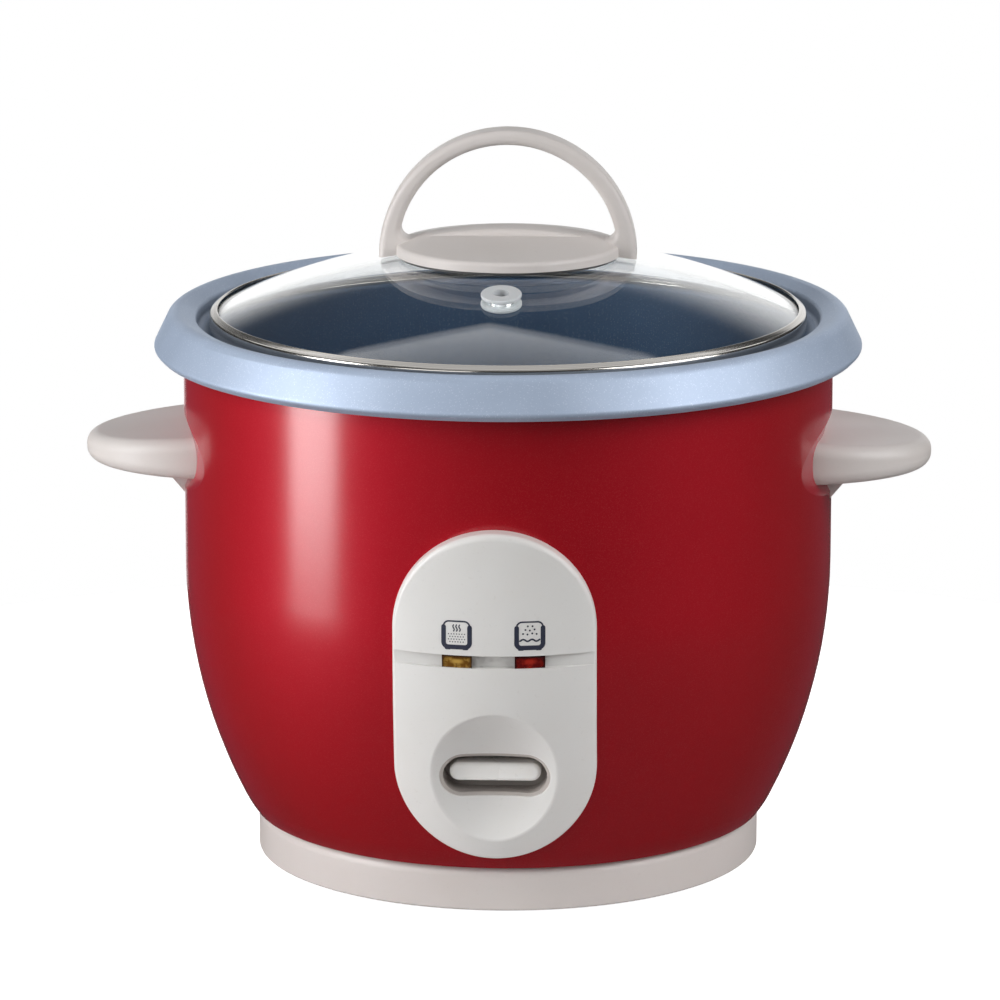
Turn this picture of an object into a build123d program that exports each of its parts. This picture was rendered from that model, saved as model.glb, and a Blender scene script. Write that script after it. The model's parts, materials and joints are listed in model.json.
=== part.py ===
"""Rice cooker with a lift-out pot, glass lid and thermostat switch, as separate pieces.

Frame: +Z up, the control panel faces -Y, the carry handles stand out along X, and the
origin is on the table at the middle of the foot circle. Lengths are millimetres.
"""
from build123d import *
import math
import os

os.makedirs("parts", exist_ok=True)

# Driving dimensions: body
BODY_R = 101.0
BODY_HEIGHT = 149.0
BODY_WALL = 1.0
BELLY_R = 165.7
BELLY_ANGLE = 26.5
HEEL_R = 35.1
HEEL_TURN = 10.8
HEM_WIDTH = 9.0

# Driving dimensions: base
FOOT_PROUD = 1.2
FOOT_R = 6.5
FOOT_STEM_R = 2.8
FOOT_STEM = 4.4
BASE_HEIGHT = 14.0
BASE_SETBACK = 1.4
BASE_WALL = 3.0
BASE_SHELF = 2.6
BASE_WEB = 2.6
BASE_TOP_ROUND = 3.5
BASE_BOTTOM_ROUND = 0.8
PLATE_RECESS = 1.4
PLATE_WALL = 1.0
PLATE_LAP = 4.0
VENT_SLOTS = 18
VENT_SLOT_LENGTH = 15.0
VENT_SLOT_WIDTH = 3.0
VENT_RING = 0.62
FOOT_ROUND = 0.8
FOOT_COUNT = 4
FOOT_INSET = 12.8

# Driving dimensions: heat chamber and heater
SHELL_GAP = 6.0
LINER_WALL = 0.8
LINER_FLANGE = 2.8
LINER_CORNER_R = 32.0
BAY_HEIGHT = 43.8
FLOOR_OPENING_R = 44.0
HEATER_R = 68.0
HEATER_THICK = 8.0
HEATER_STAND = 5.5
HEATER_HOLE_R = 18.0
HEATER_EDGE_ROUND = 2.5
BOSS_COUNT = 3
BOSS_R = 5.0
BOSS_CIRCLE_R = 55.0
ELEMENT_R = 36.0
ELEMENT_TUBE_R = 3.4
ELEMENT_ARC = 312.0
TERMINAL_R = 1.8
TERMINAL_DROP = 14.0

# Driving dimensions: pot
CHAMBER_GAP = 2.4
POT_WALL = 1.6
POT_CORNER_R = 26.0
LEDGE_WIDTH = 7.3
WELL_FLARE = 0.5
RIM_RISE = 7.2
RIM_SLOPE = 3.0
RIM_OVERHANG = 3.5
SKIRT_OVERHANG = 9.3
SKIRT_DROP = 12.0
LIP_TURN = 1.8
LEDGE_ROUND = 1.6
WELL_ROUND = 1.5
RIM_INNER_ROUND = 1.4
RIM_ROUND = 3.5
LIP_ROUND = 1.4
SEAT_GAP = 0.3

# Driving dimensions: lid
LID_GAP = 3.7
BAND_WALL = 0.6
BAND_GRIP = 3.6
GLASS_THICK = 3.8
GLASS_GAP = 0.15
DOME_RISE = 20.2
VENT_REACH = 50.0
VENT_BORE_R = 2.5
VENT_NECK_R = 3.8
VENT_FLANGE_R = 6.2
VENT_FLANGE = 1.2
VENT_ROUND = 0.35
LID_HANDLE_R = 40.0
LID_HANDLE_APEX = 37.5
LID_HANDLE_BAND = 5.8
LID_HANDLE_TOP_BAND = 4.6
LID_HANDLE_DEPTH = 11.0
LID_HANDLE_ROUND = 2.0
CROWN_RISE = 6.8
CROWN_END_RISE = 2.2
APRON_HALF_WIDTH = 34.8
APRON_HALF_DEPTH = 34.0
APRON_EDGE_RISE = 1.5
APRON_TOP_RISE = 4.8
APRON_TOP_HALF_WIDTH = 26.0
APRON_ROUND = 1.3
GASKET_THICK = 1.0
GASKET_INSET = 1.2
GASKET_FIT = 0.1
LID_SCREW_R = 2.0
LID_SCREW_HEAD_R = 4.0
LID_SCREW_BITE = 5.0
LID_WASHER_R = 9.0
LID_WASHER_THICK = 1.6

# Driving dimensions: carry handles
HANDLE_DROP = 34.2
HANDLE_REACH = 30.9
HANDLE_HALF_WIDTH = 29.5
HANDLE_THICK = 13.6
HANDLE_TIP_THICK = 8.8
HANDLE_TIP_DROP = 1.1
HANDLE_ROUND = 4.2
HANDLE_ROOT = 3.0
HANDLE_WALL = 3.2
HANDLE_CORE_DEPTH = 7.0
HANDLE_RIB = 2.4
TONGUE_REACH = 9.0
TONGUE_DROP = 8.0
TONGUE_WIDTH = 20.0
SEAT_DEPTH = 3.0
SEAT_HALF_WIDTH = 43.0
SEAT_HALF_HEIGHT = 12.5
SEAT_OVERRUN = 1.4

# Driving dimensions: control panel
PANEL_WIDTH = 61.0
PANEL_HEIGHT = 104.8
PANEL_RAISE = 5.85
PANEL_PROUD = 6.5
PANEL_BOW_R = 63.0
PANEL_WALL = 2.2
PANEL_ROUND = 2.0
PANEL_LIP = 5.0
PANEL_HEAD = 16.0
PANEL_FIT = 0.3
SPIGOT = 3.0
GROOVE_RAISE = 65.65
GROOVE_HEIGHT = 4.0
GROOVE_FLOOR = 3.2
LENS_WIDTH = 9.0
LENS_PITCH = 21.8
LENS_RECESS = 0.8
SWITCH_RAISE = 27.45
DISH_R = 42.0
DISH_DEPTH = 7.7
DISH_ROUND = 1.2
SLOT_WIDTH = 33.4
SLOT_HEIGHT = 14.0
SLOT_WALL = 1.0
SLOT_ROUND = 0.4
SLOT_RECESS = 0.8
SLOT_DEPTH = 11.0
KEY_WIDTH = 27.5
KEY_HEIGHT = 5.6
KEY_DEPTH = 7.0
KEY_PROUD = 0.6
KEY_REST_RISE = 0.8
KEY_ROUND = 1.2
KEY_TRAVEL = 3.4
LAMP_R = 2.1
LAMP_LENGTH = 9.0
LAMP_GAP = 0.4
LAMP_PLATE = 0.8

# Driving dimensions: switch lever and thermostat
PIVOT_REACH = 50.0
PIVOT_R = 1.5
PIVOT_CLEARANCE = 0.3
KNUCKLE_R = 3.4
LEVER_WIDTH = 14.0
LEVER_THICK = 2.0
LEVER_DEPTH = 28.0
LEVER_CRANK = 14.0
LEVER_ENTRY = 3.0
LEVER_BEND_R = 4.0
FORK_REACH = 6.5
FORK_GAP = 0.8
CHEEK_WALL = 1.2
CHEEK_GAP = 1.6
BRACKET_LENGTH = 11.0
BRACKET_MARGIN = 4.0
BRACKET_WING = 6.0
ROD_R = 2.5
ROD_COLLAR_R = 5.6
ROD_COLLAR = 1.5
MAGNET_R = 11.0
MAGNET_THICK = 5.0
CAP_R = 16.8
CAP_WALL = 0.8
CAP_HEIGHT = 13.0
FERRITE_R = 12.0
FERRITE_THICK = 4.0
SENSOR_TRAVEL = 2.5
MAGNET_CLEARANCE = 1.0
CAP_FLANGE = 2.0
CAGE_WALL = 0.8
CAGE_DEPTH = 18.0
CAGE_FLANGE = 7.0
SPRING_WIRE_R = 0.5
SPRING_TURNS = 4
RELEASE_SPRING_R = 4.6

# Driving dimensions: small fittings
SCREW_R = 1.6
SCREW_HEAD_R = 3.2
SCREW_HEAD = 1.8
SCREW_BITE = 8.0
PANEL_SCREW_BITE = 3.5
HEM_SCREW_HEAD_R = 2.2
PLATE_SCREW_R = 1.2
PLATE_SCREW_HEAD = 1.0
HANDLE_SCREW_ANGLE = 6.0
PANEL_SCREW_SPREAD = 24.0
GLAND_HEIGHT = 18.0
GLAND_BORE_R = 3.6
GLAND_NECK_R = 6.0
GLAND_FLANGE_R = 8.5
GLAND_FLANGE = 6.0
CONTACT_WIDTH = 12.0
CONTACT_DEPTH = 9.0
CONTACT_HEIGHT = 11.0
CONTACT_X = 23.0
BLADE_WIDTH = 5.0
BLADE_THICK = 0.8
BLADE_DROP = 7.0
FUSE_R = 2.0
FUSE_LENGTH = 16.0
FUSE_X = -30.0
WARMER_THICK = 1.2
WARMER_HEIGHT = 25.0
WARMER_ARC = 70.0
WARMER_RAISE = 40.0

# Heights and radii that follow
HEM_Z = FOOT_PROUD + BASE_HEIGHT
BELLY_RAD = math.radians(BELLY_ANGLE)
HEEL_RAD = math.radians(BELLY_ANGLE + HEEL_TURN)
CURVE_HEIGHT = BELLY_R * math.sin(BELLY_RAD) + HEEL_R * (math.sin(HEEL_RAD) - math.sin(BELLY_RAD))
CURVE_DRAW = BELLY_R * (1 - math.cos(BELLY_RAD)) + HEEL_R * (math.cos(BELLY_RAD) - math.cos(HEEL_RAD))
STRAIGHT_Z = HEM_Z + CURVE_HEIGHT
HEM_R = BODY_R - CURVE_DRAW
BODY_TOP_Z = HEM_Z + BODY_HEIGHT
BELLY_CENTRE = (BODY_R - BELLY_R, STRAIGHT_Z)
HEEL_CENTRE = (
    BELLY_CENTRE[0] + (BELLY_R - HEEL_R) * math.cos(BELLY_RAD),
    BELLY_CENTRE[1] - (BELLY_R - HEEL_R) * math.sin(BELLY_RAD),
)
BASE_R = HEM_R - BASE_SETBACK
WEB_Z = FOOT_PROUD + PLATE_RECESS + PLATE_WALL
FOOT_CIRCLE_R = BASE_R - FOOT_INSET
PLATE_R = FOOT_CIRCLE_R - FOOT_R - BODY_WALL

LINER_R = BODY_R - BODY_WALL - SHELL_GAP - LINER_WALL
LINER_TOP_Z = BODY_TOP_Z + LINER_WALL
LINER_FLOOR_Z = HEM_Z + BAY_HEIGHT
FLOOR_UNDER_Z = LINER_FLOOR_Z - LINER_WALL
HEATER_UNDER_Z = LINER_FLOOR_Z + HEATER_STAND
HEATER_TOP_Z = HEATER_UNDER_Z + HEATER_THICK

POT_R = LINER_R - CHAMBER_GAP - POT_WALL
POT_FLOOR_Z = HEATER_TOP_Z + SEAT_GAP + POT_WALL
LEDGE_Z = LINER_TOP_Z + SEAT_GAP + POT_WALL
WELL_R = POT_R + LEDGE_WIDTH
RIM_Z = LEDGE_Z + RIM_RISE
RIM_R = BODY_R + RIM_OVERHANG
SKIRT_R = BODY_R + SKIRT_OVERHANG

LID_R = WELL_R - LID_GAP
LID_Z = LEDGE_Z + SEAT_GAP
GLASS_R = LID_R - BAND_WALL - GLASS_GAP
GLASS_EDGE_Z = LID_Z + BAND_WALL + GLASS_THICK + GLASS_GAP
DOME_R = (GLASS_R ** 2 + DOME_RISE ** 2) / (2 * DOME_RISE)
DOME_CENTRE_Z = GLASS_EDGE_Z + DOME_RISE - DOME_R
DOME_APEX_Z = GLASS_EDGE_Z + DOME_RISE

HANDLE_Z = BODY_TOP_Z - HANDLE_DROP
SEAT_R = BODY_R - SEAT_DEPTH
SEAT_TUBE_R = (SEAT_HALF_HEIGHT ** 2 + SEAT_DEPTH ** 2) / (2 * SEAT_DEPTH)
SEAT_SAG = SEAT_R - math.sqrt(BODY_R ** 2 - SEAT_HALF_WIDTH ** 2)
SEAT_PLAN_R = (SEAT_HALF_WIDTH ** 2 + SEAT_SAG ** 2) / (2 * SEAT_SAG)
SEAT_AXIS_X = SEAT_R - SEAT_PLAN_R

PANEL_Z = HEM_Z + PANEL_RAISE
PANEL_MID_Z = PANEL_Z + PANEL_HEIGHT / 2
SWITCH_Z = PANEL_Z + SWITCH_RAISE
GROOVE_Z = PANEL_Z + GROOVE_RAISE
BOW_Y = -(BODY_R + PANEL_PROUD - PANEL_BOW_R)
OPENING_WIDTH = PANEL_WIDTH - 2 * PANEL_LIP
OPENING_Z = PANEL_Z + PANEL_LIP
OPENING_TOP_Z = PANEL_Z + PANEL_HEIGHT - PANEL_HEAD
OPENING_HEIGHT = OPENING_TOP_Z - OPENING_Z
OPENING_MID_Z = (OPENING_TOP_Z + OPENING_Z) / 2

LEVER_Z = FLOOR_UNDER_Z - LEVER_DEPTH
PIVOT_Z = LEVER_Z + LEVER_THICK / 2 + KNUCKLE_R - BLADE_THICK
PIVOT_Y = -PIVOT_REACH
CAGE_Z = HEATER_UNDER_Z - CAGE_DEPTH
CAP_TOP_Z = HEATER_TOP_Z
CAP_Z = CAP_TOP_Z - CAP_HEIGHT
CAP_FLANGE_R = CAP_R + CAP_FLANGE
CAP_FLANGE_Z = HEATER_UNDER_Z - SEAT_GAP - CAP_WALL
CAGE_R = CAP_FLANGE_R + 2 * CAGE_WALL
FERRITE_Z = CAP_TOP_Z - CAP_WALL - FERRITE_THICK


def wall_radius(z):
    """Outer radius of the body at height z."""
    drop = STRAIGHT_Z - z
    if drop <= 0:
        return BODY_R
    if drop <= BELLY_R * math.sin(BELLY_RAD):
        return BELLY_CENTRE[0] + math.sqrt(BELLY_R ** 2 - drop ** 2)
    return HEEL_CENTRE[0] + math.sqrt(HEEL_R ** 2 - (HEEL_CENTRE[1] - z) ** 2)


def dome_z(radius, rise=0.0):
    """Height of the lid glass at a radius, on a dome that stands rise above it."""
    return DOME_CENTRE_Z + math.sqrt((DOME_R + rise) ** 2 - radius ** 2)


def body_form(inset, top_z):
    """Solid of revolution inside the body wall, the wall moved inwards by inset."""
    with BuildPart() as form:
        with BuildSketch(Plane.XZ):
            with BuildLine():
                wall = Line((BODY_R - inset, top_z), (BODY_R - inset, STRAIGHT_Z))
                CenterArc(BELLY_CENTRE, BELLY_R - inset, 0, -BELLY_ANGLE)
                heel = CenterArc(HEEL_CENTRE, HEEL_R - inset, -BELLY_ANGLE, -HEEL_TURN)
                Polyline(heel @ 1, (0, (heel @ 1).Y), (0, top_z), wall @ 0)
            make_face()
        revolve(axis=Axis.Z)
    return form.part


def panel_form(proud):
    """Bowed solid whose front stands proud of the body along the middle of the panel."""
    with BuildPart() as form:
        with BuildSketch(Plane.YZ):
            with BuildLine():
                wall = Line((-BODY_R - proud, BODY_TOP_Z), (-BODY_R - proud, STRAIGHT_Z))
                CenterArc((-BELLY_CENTRE[0] - proud, STRAIGHT_Z), BELLY_R, 180, BELLY_ANGLE)
                heel = CenterArc(
                    (-HEEL_CENTRE[0] - proud, HEEL_CENTRE[1]), HEEL_R, 180 + BELLY_ANGLE, HEEL_TURN
                )
                Polyline(heel @ 1, (BOW_Y, (heel @ 1).Y), (BOW_Y, BODY_TOP_Z), wall @ 0)
            make_face()
        revolve(axis=Axis((0, BOW_Y, 0), (0, 0, 1)))
    return form.part


def handle_seats(grow):
    """Shallow ring-shaped scoops for the two handle roots, enlarged all round by grow."""
    reach = math.degrees(math.asin(SEAT_HALF_WIDTH / SEAT_PLAN_R)) * SEAT_OVERRUN
    axis = Axis((SEAT_AXIS_X, 0, 0), (0, 0, 1))
    with BuildPart() as seats:
        with BuildSketch(Plane(origin=(SEAT_AXIS_X, 0, 0), x_dir=Vector(1, 0, 0).rotate(Axis.Z, -reach),
                               z_dir=Vector(0, -1, 0).rotate(Axis.Z, -reach))):
            with Locations((SEAT_PLAN_R + SEAT_TUBE_R, HANDLE_Z)):
                Circle(SEAT_TUBE_R + grow)
        revolve(axis=axis, revolution_arc=2 * reach)
        mirror(about=Plane.YZ)
    return seats.part


def upright_slot(width, height, middle_z):
    """Upright bar with round ends, running forward from the panel's bow axis."""
    with BuildPart() as bar:
        with BuildSketch(Plane.XZ.offset(-BOW_Y)):
            with Locations((0, middle_z)):
                SlotOverall(height, width, rotation=90)
        extrude(amount=PANEL_BOW_R + BODY_WALL)
    return bar.part


def level_slot(width, height, middle_z, back_y, front_y):
    """Level bar with round ends between two depths, seen from the front as a stadium."""
    with BuildPart() as bar:
        with BuildSketch(Plane.XZ.offset(-back_y)):
            with Locations((0, middle_z)):
                SlotOverall(width, height)
        extrude(amount=back_y - front_y)
    return bar.part


def screws(points, head_r, head, shank_r, length):
    """Pan-head screws as separate solids, each from a point and a direction of driving."""
    with BuildPart() as group:
        for start, direction in points:
            drive = Plane(origin=start, z_dir=direction)
            with BuildSketch(drive.offset(-head)):
                Circle(head_r)
            extrude(amount=head)
            with BuildSketch(drive):
                Circle(shank_r)
            extrude(amount=length)
    return group


def ring_points(count, radius, z, turn=0.0):
    """Points spaced evenly on a level circle about the cooker's axis."""
    return [Vector(radius, 0, z).rotate(Axis.Z, turn + 360 * i / count) for i in range(count)]


def spring(radius, low_z, high_z):
    """Open coil spring about the cooker's axis between two heights."""
    height = high_z - low_z - 2 * SPRING_WIRE_R
    with BuildPart() as coil:
        with BuildLine(Plane.XY.offset(low_z + SPRING_WIRE_R)) as path:
            Helix(height / SPRING_TURNS, height, radius)
        with BuildSketch(Plane(origin=path.line @ 0, z_dir=path.line % 0)):
            Circle(SPRING_WIRE_R)
        sweep(is_frenet=True)
    return coil


# Shared forms
BODY_OUTER = body_form(0, BODY_TOP_Z)
BODY_INNER = body_form(BODY_WALL, BODY_TOP_Z - BODY_WALL)
SEATS = handle_seats(0)
SEATS_INNER = handle_seats(BODY_WALL)

# Body with the handle seats pressed in, outside and inside the sheet
with BuildPart() as pressed_body:
    add(BODY_OUTER)
    add(SEATS, mode=Mode.SUBTRACT)

with BuildPart() as pressed_inside:
    add(BODY_INNER)
    add(SEATS_INNER, mode=Mode.SUBTRACT)

# Screws, each group cut from the pieces that it holds
HANDLE_SCREWS = []
for side in (1, -1):
    for turn in (-HANDLE_SCREW_ANGLE, HANDLE_SCREW_ANGLE):
        out = Vector(1, 0, 0).rotate(Axis.Z, turn)
        reach = SEAT_PLAN_R - BODY_WALL
        start = Vector(side * (SEAT_AXIS_X + reach * out.X), reach * out.Y, HANDLE_Z)
        HANDLE_SCREWS.append((start, Vector(side * out.X, out.Y, 0)))
handle_screws = screws(HANDLE_SCREWS, SCREW_HEAD_R, SCREW_HEAD, SCREW_R, SCREW_BITE)
handle_screws.part.label = "handle_screws"
export_step(handle_screws.part, "parts/handle_screws.step")

PANEL_SCREWS = []
for side in (1, -1):
    turn = math.degrees(math.asin(PANEL_SCREW_SPREAD / 2 / BODY_R))
    out = Vector(0, -1, 0).rotate(Axis.Z, side * turn)
    reach = math.sqrt((BODY_R - BODY_WALL) ** 2 - SCREW_HEAD_R ** 2)
    PANEL_SCREWS.append((out * reach + Vector(0, 0, PANEL_Z + PANEL_HEIGHT - PANEL_HEAD / 2), out))
panel_screws = screws(PANEL_SCREWS, SCREW_HEAD_R, SCREW_HEAD, SCREW_R, BODY_WALL + PANEL_SCREW_BITE)
panel_screws.part.label = "panel_screws"
export_step(panel_screws.part, "parts/panel_screws.step")

HEM_SCREW_CIRCLE_R = BASE_R - BASE_WALL - HEM_SCREW_HEAD_R - SEAT_GAP
HEM_POINTS = ring_points(FOOT_COUNT, HEM_SCREW_CIRCLE_R, HEM_Z - BASE_SHELF)
hem_screws = screws([(p, (0, 0, 1)) for p in HEM_POINTS], HEM_SCREW_HEAD_R, SCREW_HEAD, PLATE_SCREW_R, SCREW_BITE)
hem_screws.part.label = "hem_screws"
export_step(hem_screws.part, "parts/hem_screws.step")

PLATE_POINTS = ring_points(FOOT_COUNT, PLATE_R - PLATE_LAP / 2, WEB_Z - PLATE_WALL)
bottom_screws = screws([(p, (0, 0, 1)) for p in PLATE_POINTS], PLATE_LAP / 2, PLATE_SCREW_HEAD, PLATE_SCREW_R,
                       PLATE_WALL + BASE_WEB)
bottom_screws.part.label = "bottom_screws"
export_step(bottom_screws.part, "parts/bottom_screws.step")

BOSS_POINTS = ring_points(BOSS_COUNT, BOSS_CIRCLE_R, FLOOR_UNDER_Z, 90)
heater_screws = screws([(p, (0, 0, 1)) for p in BOSS_POINTS], SCREW_HEAD_R, SCREW_HEAD, SCREW_R,
                       LINER_WALL + HEATER_STAND)
heater_screws.part.label = "heater_screws"
export_step(heater_screws.part, "parts/heater_screws.step")

# Cord gland: bushing through the back of the shell, its flanges shaped to the wall
GLAND_Z = HEM_Z + GLAND_HEIGHT
GLAND_Y = wall_radius(GLAND_Z)
GLAND_SPAN = 2 * GLAND_FLANGE_R
with BuildPart() as cord_gland:
    with BuildSketch(Plane.XZ.offset(-GLAND_Y - GLAND_FLANGE)):
        with Locations((0, GLAND_Z)):
            Circle(GLAND_FLANGE_R)
    extrude(amount=GLAND_SPAN)
    add(BODY_OUTER, mode=Mode.SUBTRACT)
    with BuildSketch(Plane.XZ.offset(-GLAND_Y - GLAND_FLANGE)):
        with Locations((0, GLAND_Z)):
            Circle(GLAND_NECK_R)
    extrude(amount=GLAND_SPAN)
    with BuildSketch(Plane.XZ.offset(-GLAND_Y - GLAND_FLANGE)):
        with Locations((0, GLAND_Z)):
            Circle(GLAND_BORE_R)
    extrude(amount=GLAND_SPAN, mode=Mode.SUBTRACT)
    fillet(cord_gland.edges().filter_by(GeomType.CIRCLE).group_by(Axis.Y)[-1].sort_by(SortBy.RADIUS)[-1], 1.0)
cord_gland.part.label = "cord_gland"
export_step(cord_gland.part, "parts/cord_gland.step")

# Outer shell: drawn steel wall with a hem, a brim, the panel opening and the screw holes
with BuildPart() as outer_shell:
    add(pressed_body.part)
    add(pressed_inside.part, mode=Mode.SUBTRACT)
    with BuildSketch(Plane.XY):
        Circle(HEM_R - HEM_WIDTH)
    extrude(amount=STRAIGHT_Z, mode=Mode.SUBTRACT)
    with BuildSketch(Plane.XY.offset(STRAIGHT_Z)):
        Circle(LINER_R + LINER_WALL + PANEL_FIT)
    extrude(amount=BODY_TOP_Z, mode=Mode.SUBTRACT)
    add(upright_slot(OPENING_WIDTH, OPENING_HEIGHT, OPENING_MID_Z), mode=Mode.SUBTRACT)
    with BuildSketch(Plane.XZ.offset(-BODY_R)):
        with Locations((0, GLAND_Z)):
            Circle(GLAND_NECK_R)
    extrude(amount=BODY_R / 2, mode=Mode.SUBTRACT)
    add(handle_screws.part, mode=Mode.SUBTRACT)
    add(panel_screws.part, mode=Mode.SUBTRACT)
    add(hem_screws.part, mode=Mode.SUBTRACT)
outer_shell.part.label = "outer_shell"
export_step(outer_shell.part, "parts/outer_shell.step")

# Base ring: outer wall, shelf under the hem and a web for the feet and the bottom plate
FEET = ring_points(FOOT_COUNT, FOOT_CIRCLE_R, 0, 45)
with BuildPart() as base_ring:
    with BuildSketch(Plane.XZ):
        with BuildLine():
            Polyline(
                (BASE_R, FOOT_PROUD),
                (BASE_R, HEM_Z),
                (HEM_R - HEM_WIDTH - BASE_WALL, HEM_Z),
                (HEM_R - HEM_WIDTH - BASE_WALL, HEM_Z - BASE_SHELF),
                (BASE_R - BASE_WALL, HEM_Z - BASE_SHELF),
                (BASE_R - BASE_WALL, WEB_Z + BASE_WEB),
                (PLATE_R - PLATE_LAP, WEB_Z + BASE_WEB),
                (PLATE_R - PLATE_LAP, WEB_Z),
                (BASE_R - BASE_WALL, WEB_Z),
                (BASE_R - BASE_WALL, FOOT_PROUD),
                close=True,
            )
        make_face()
    revolve(axis=Axis.Z)
    rim = base_ring.edges().filter_by(GeomType.CIRCLE).filter_by(lambda e: abs(e.radius - BASE_R) < 0.01)
    fillet(rim.sort_by(Axis.Z)[-1], BASE_TOP_ROUND)
    rim = base_ring.edges().filter_by(GeomType.CIRCLE).filter_by(lambda e: abs(e.radius - BASE_R) < 0.01)
    fillet(rim.sort_by(Axis.Z)[0], BASE_BOTTOM_ROUND)
    with BuildSketch(Plane.XY.offset(WEB_Z)):
        with Locations(*FEET):
            Circle(FOOT_STEM_R)
    extrude(amount=BASE_WEB, mode=Mode.SUBTRACT)
    add(hem_screws.part, mode=Mode.SUBTRACT)
    add(bottom_screws.part, mode=Mode.SUBTRACT)
base_ring.part.label = "base_ring"
export_step(base_ring.part, "parts/base_ring.step")

# Bottom plate: pressed steel cover with rings of cooling slots
with BuildPart() as bottom_plate:
    with BuildSketch(Plane.XY.offset(WEB_Z - PLATE_WALL)):
        Circle(PLATE_R)
        with PolarLocations(PLATE_R * VENT_RING, VENT_SLOTS):
            SlotOverall(VENT_SLOT_LENGTH, VENT_SLOT_WIDTH, mode=Mode.SUBTRACT)
    extrude(amount=PLATE_WALL)
    add(bottom_screws.part, mode=Mode.SUBTRACT)
bottom_plate.part.label = "bottom_plate"
export_step(bottom_plate.part, "parts/bottom_plate.step")

# Feet: rubber buttons pushed into the web of the base ring
FOOT_NAMES = ("foot_rear_right", "foot_rear_left", "foot_front_left", "foot_front_right")
for point, name in zip(FEET, FOOT_NAMES):
    with BuildPart() as foot:
        with BuildSketch(Plane.XY.offset(point.Z)):
            with Locations((point.X, point.Y)):
                Circle(FOOT_R)
        extrude(amount=WEB_Z)
        fillet(foot.edges().group_by(Axis.Z)[0], FOOT_ROUND)
        with BuildSketch(Plane.XY.offset(WEB_Z)):
            with Locations((point.X, point.Y)):
                Circle(FOOT_STEM_R)
        extrude(amount=FOOT_STEM)
    foot.part.label = name
    export_step(foot.part, f"parts/{name}.step")

# Inner liner: thin drawn cup that hangs by its flange on the brim of the shell
with BuildPart() as inner_liner:
    with BuildSketch(Plane.XZ):
        with BuildLine():
            FilletPolyline(
                (FLOOR_OPENING_R, LINER_FLOOR_Z),
                (LINER_R, LINER_FLOOR_Z),
                (LINER_R, LINER_TOP_Z),
                (LINER_R + LINER_FLANGE, LINER_TOP_Z),
                radius=[LINER_CORNER_R, LINER_WALL],
            )
            offset(amount=LINER_WALL, side=Side.RIGHT)
        make_face()
    revolve(axis=Axis.Z)
    add(heater_screws.part, mode=Mode.SUBTRACT)
inner_liner.part.label = "inner_liner"
export_step(inner_liner.part, "parts/inner_liner.step")

# Heating element: sheathed ring let into the underside of the plate, with two terminals
ELEMENT_TURN = (360 - ELEMENT_ARC) / 2
with BuildPart() as heating_element:
    with BuildSketch(Plane.XZ.rotated((0, 0, 90 + ELEMENT_TURN))):
        with Locations((ELEMENT_R, HEATER_UNDER_Z)):
            Circle(ELEMENT_TUBE_R)
    revolve(axis=Axis.Z, revolution_arc=ELEMENT_ARC)
    for turn in (90 - ELEMENT_TURN, 90 + ELEMENT_TURN):
        end = Vector(ELEMENT_R, 0, 0).rotate(Axis.Z, turn)
        with BuildSketch(Plane.XY.offset(HEATER_UNDER_Z)):
            with Locations((end.X, end.Y)):
                Circle(TERMINAL_R)
        extrude(amount=-TERMINAL_DROP)
heating_element.part.label = "heating_element"
export_step(heating_element.part, "parts/heating_element.step")

# Heater plate: cast disc with a hole for the sensor and bosses down to the liner floor
with BuildPart() as heater_plate:
    with BuildSketch(Plane.XY.offset(HEATER_UNDER_Z)):
        Circle(HEATER_R)
        Circle(HEATER_HOLE_R, mode=Mode.SUBTRACT)
    extrude(amount=HEATER_THICK)
    rim = heater_plate.edges().filter_by(GeomType.CIRCLE).group_by(SortBy.RADIUS)[-1]
    fillet(rim, HEATER_EDGE_ROUND)
    with BuildSketch(Plane.XY.offset(LINER_FLOOR_Z)):
        with Locations(*BOSS_POINTS):
            Circle(BOSS_R)
    extrude(amount=HEATER_STAND)
    add(heating_element.part, mode=Mode.SUBTRACT)
    add(heater_screws.part, mode=Mode.SUBTRACT)
heater_plate.part.label = "heater_plate"
export_step(heater_plate.part, "parts/heater_plate.step")

# Cooking pot: one drawn sheet from the floor to the rolled lip
with BuildPart() as cooking_pot:
    with BuildSketch(Plane.XZ):
        with BuildLine():
            FilletPolyline(
                (0, POT_FLOOR_Z),
                (POT_R, POT_FLOOR_Z),
                (POT_R, LEDGE_Z),
                (WELL_R, LEDGE_Z),
                (WELL_R + WELL_FLARE, RIM_Z - RIM_SLOPE),
                (RIM_R, RIM_Z),
                (SKIRT_R, RIM_Z - SKIRT_DROP),
                (SKIRT_R - LIP_TURN, RIM_Z - SKIRT_DROP - LIP_TURN),
                radius=[POT_CORNER_R, LEDGE_ROUND, WELL_ROUND, RIM_INNER_ROUND, RIM_ROUND, LIP_ROUND],
            )
            offset(amount=POT_WALL, side=Side.RIGHT)
        make_face()
    revolve(axis=Axis.Z)
cooking_pot.part.label = "cooking_pot"
export_step(cooking_pot.part, "parts/cooking_pot.step")

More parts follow.
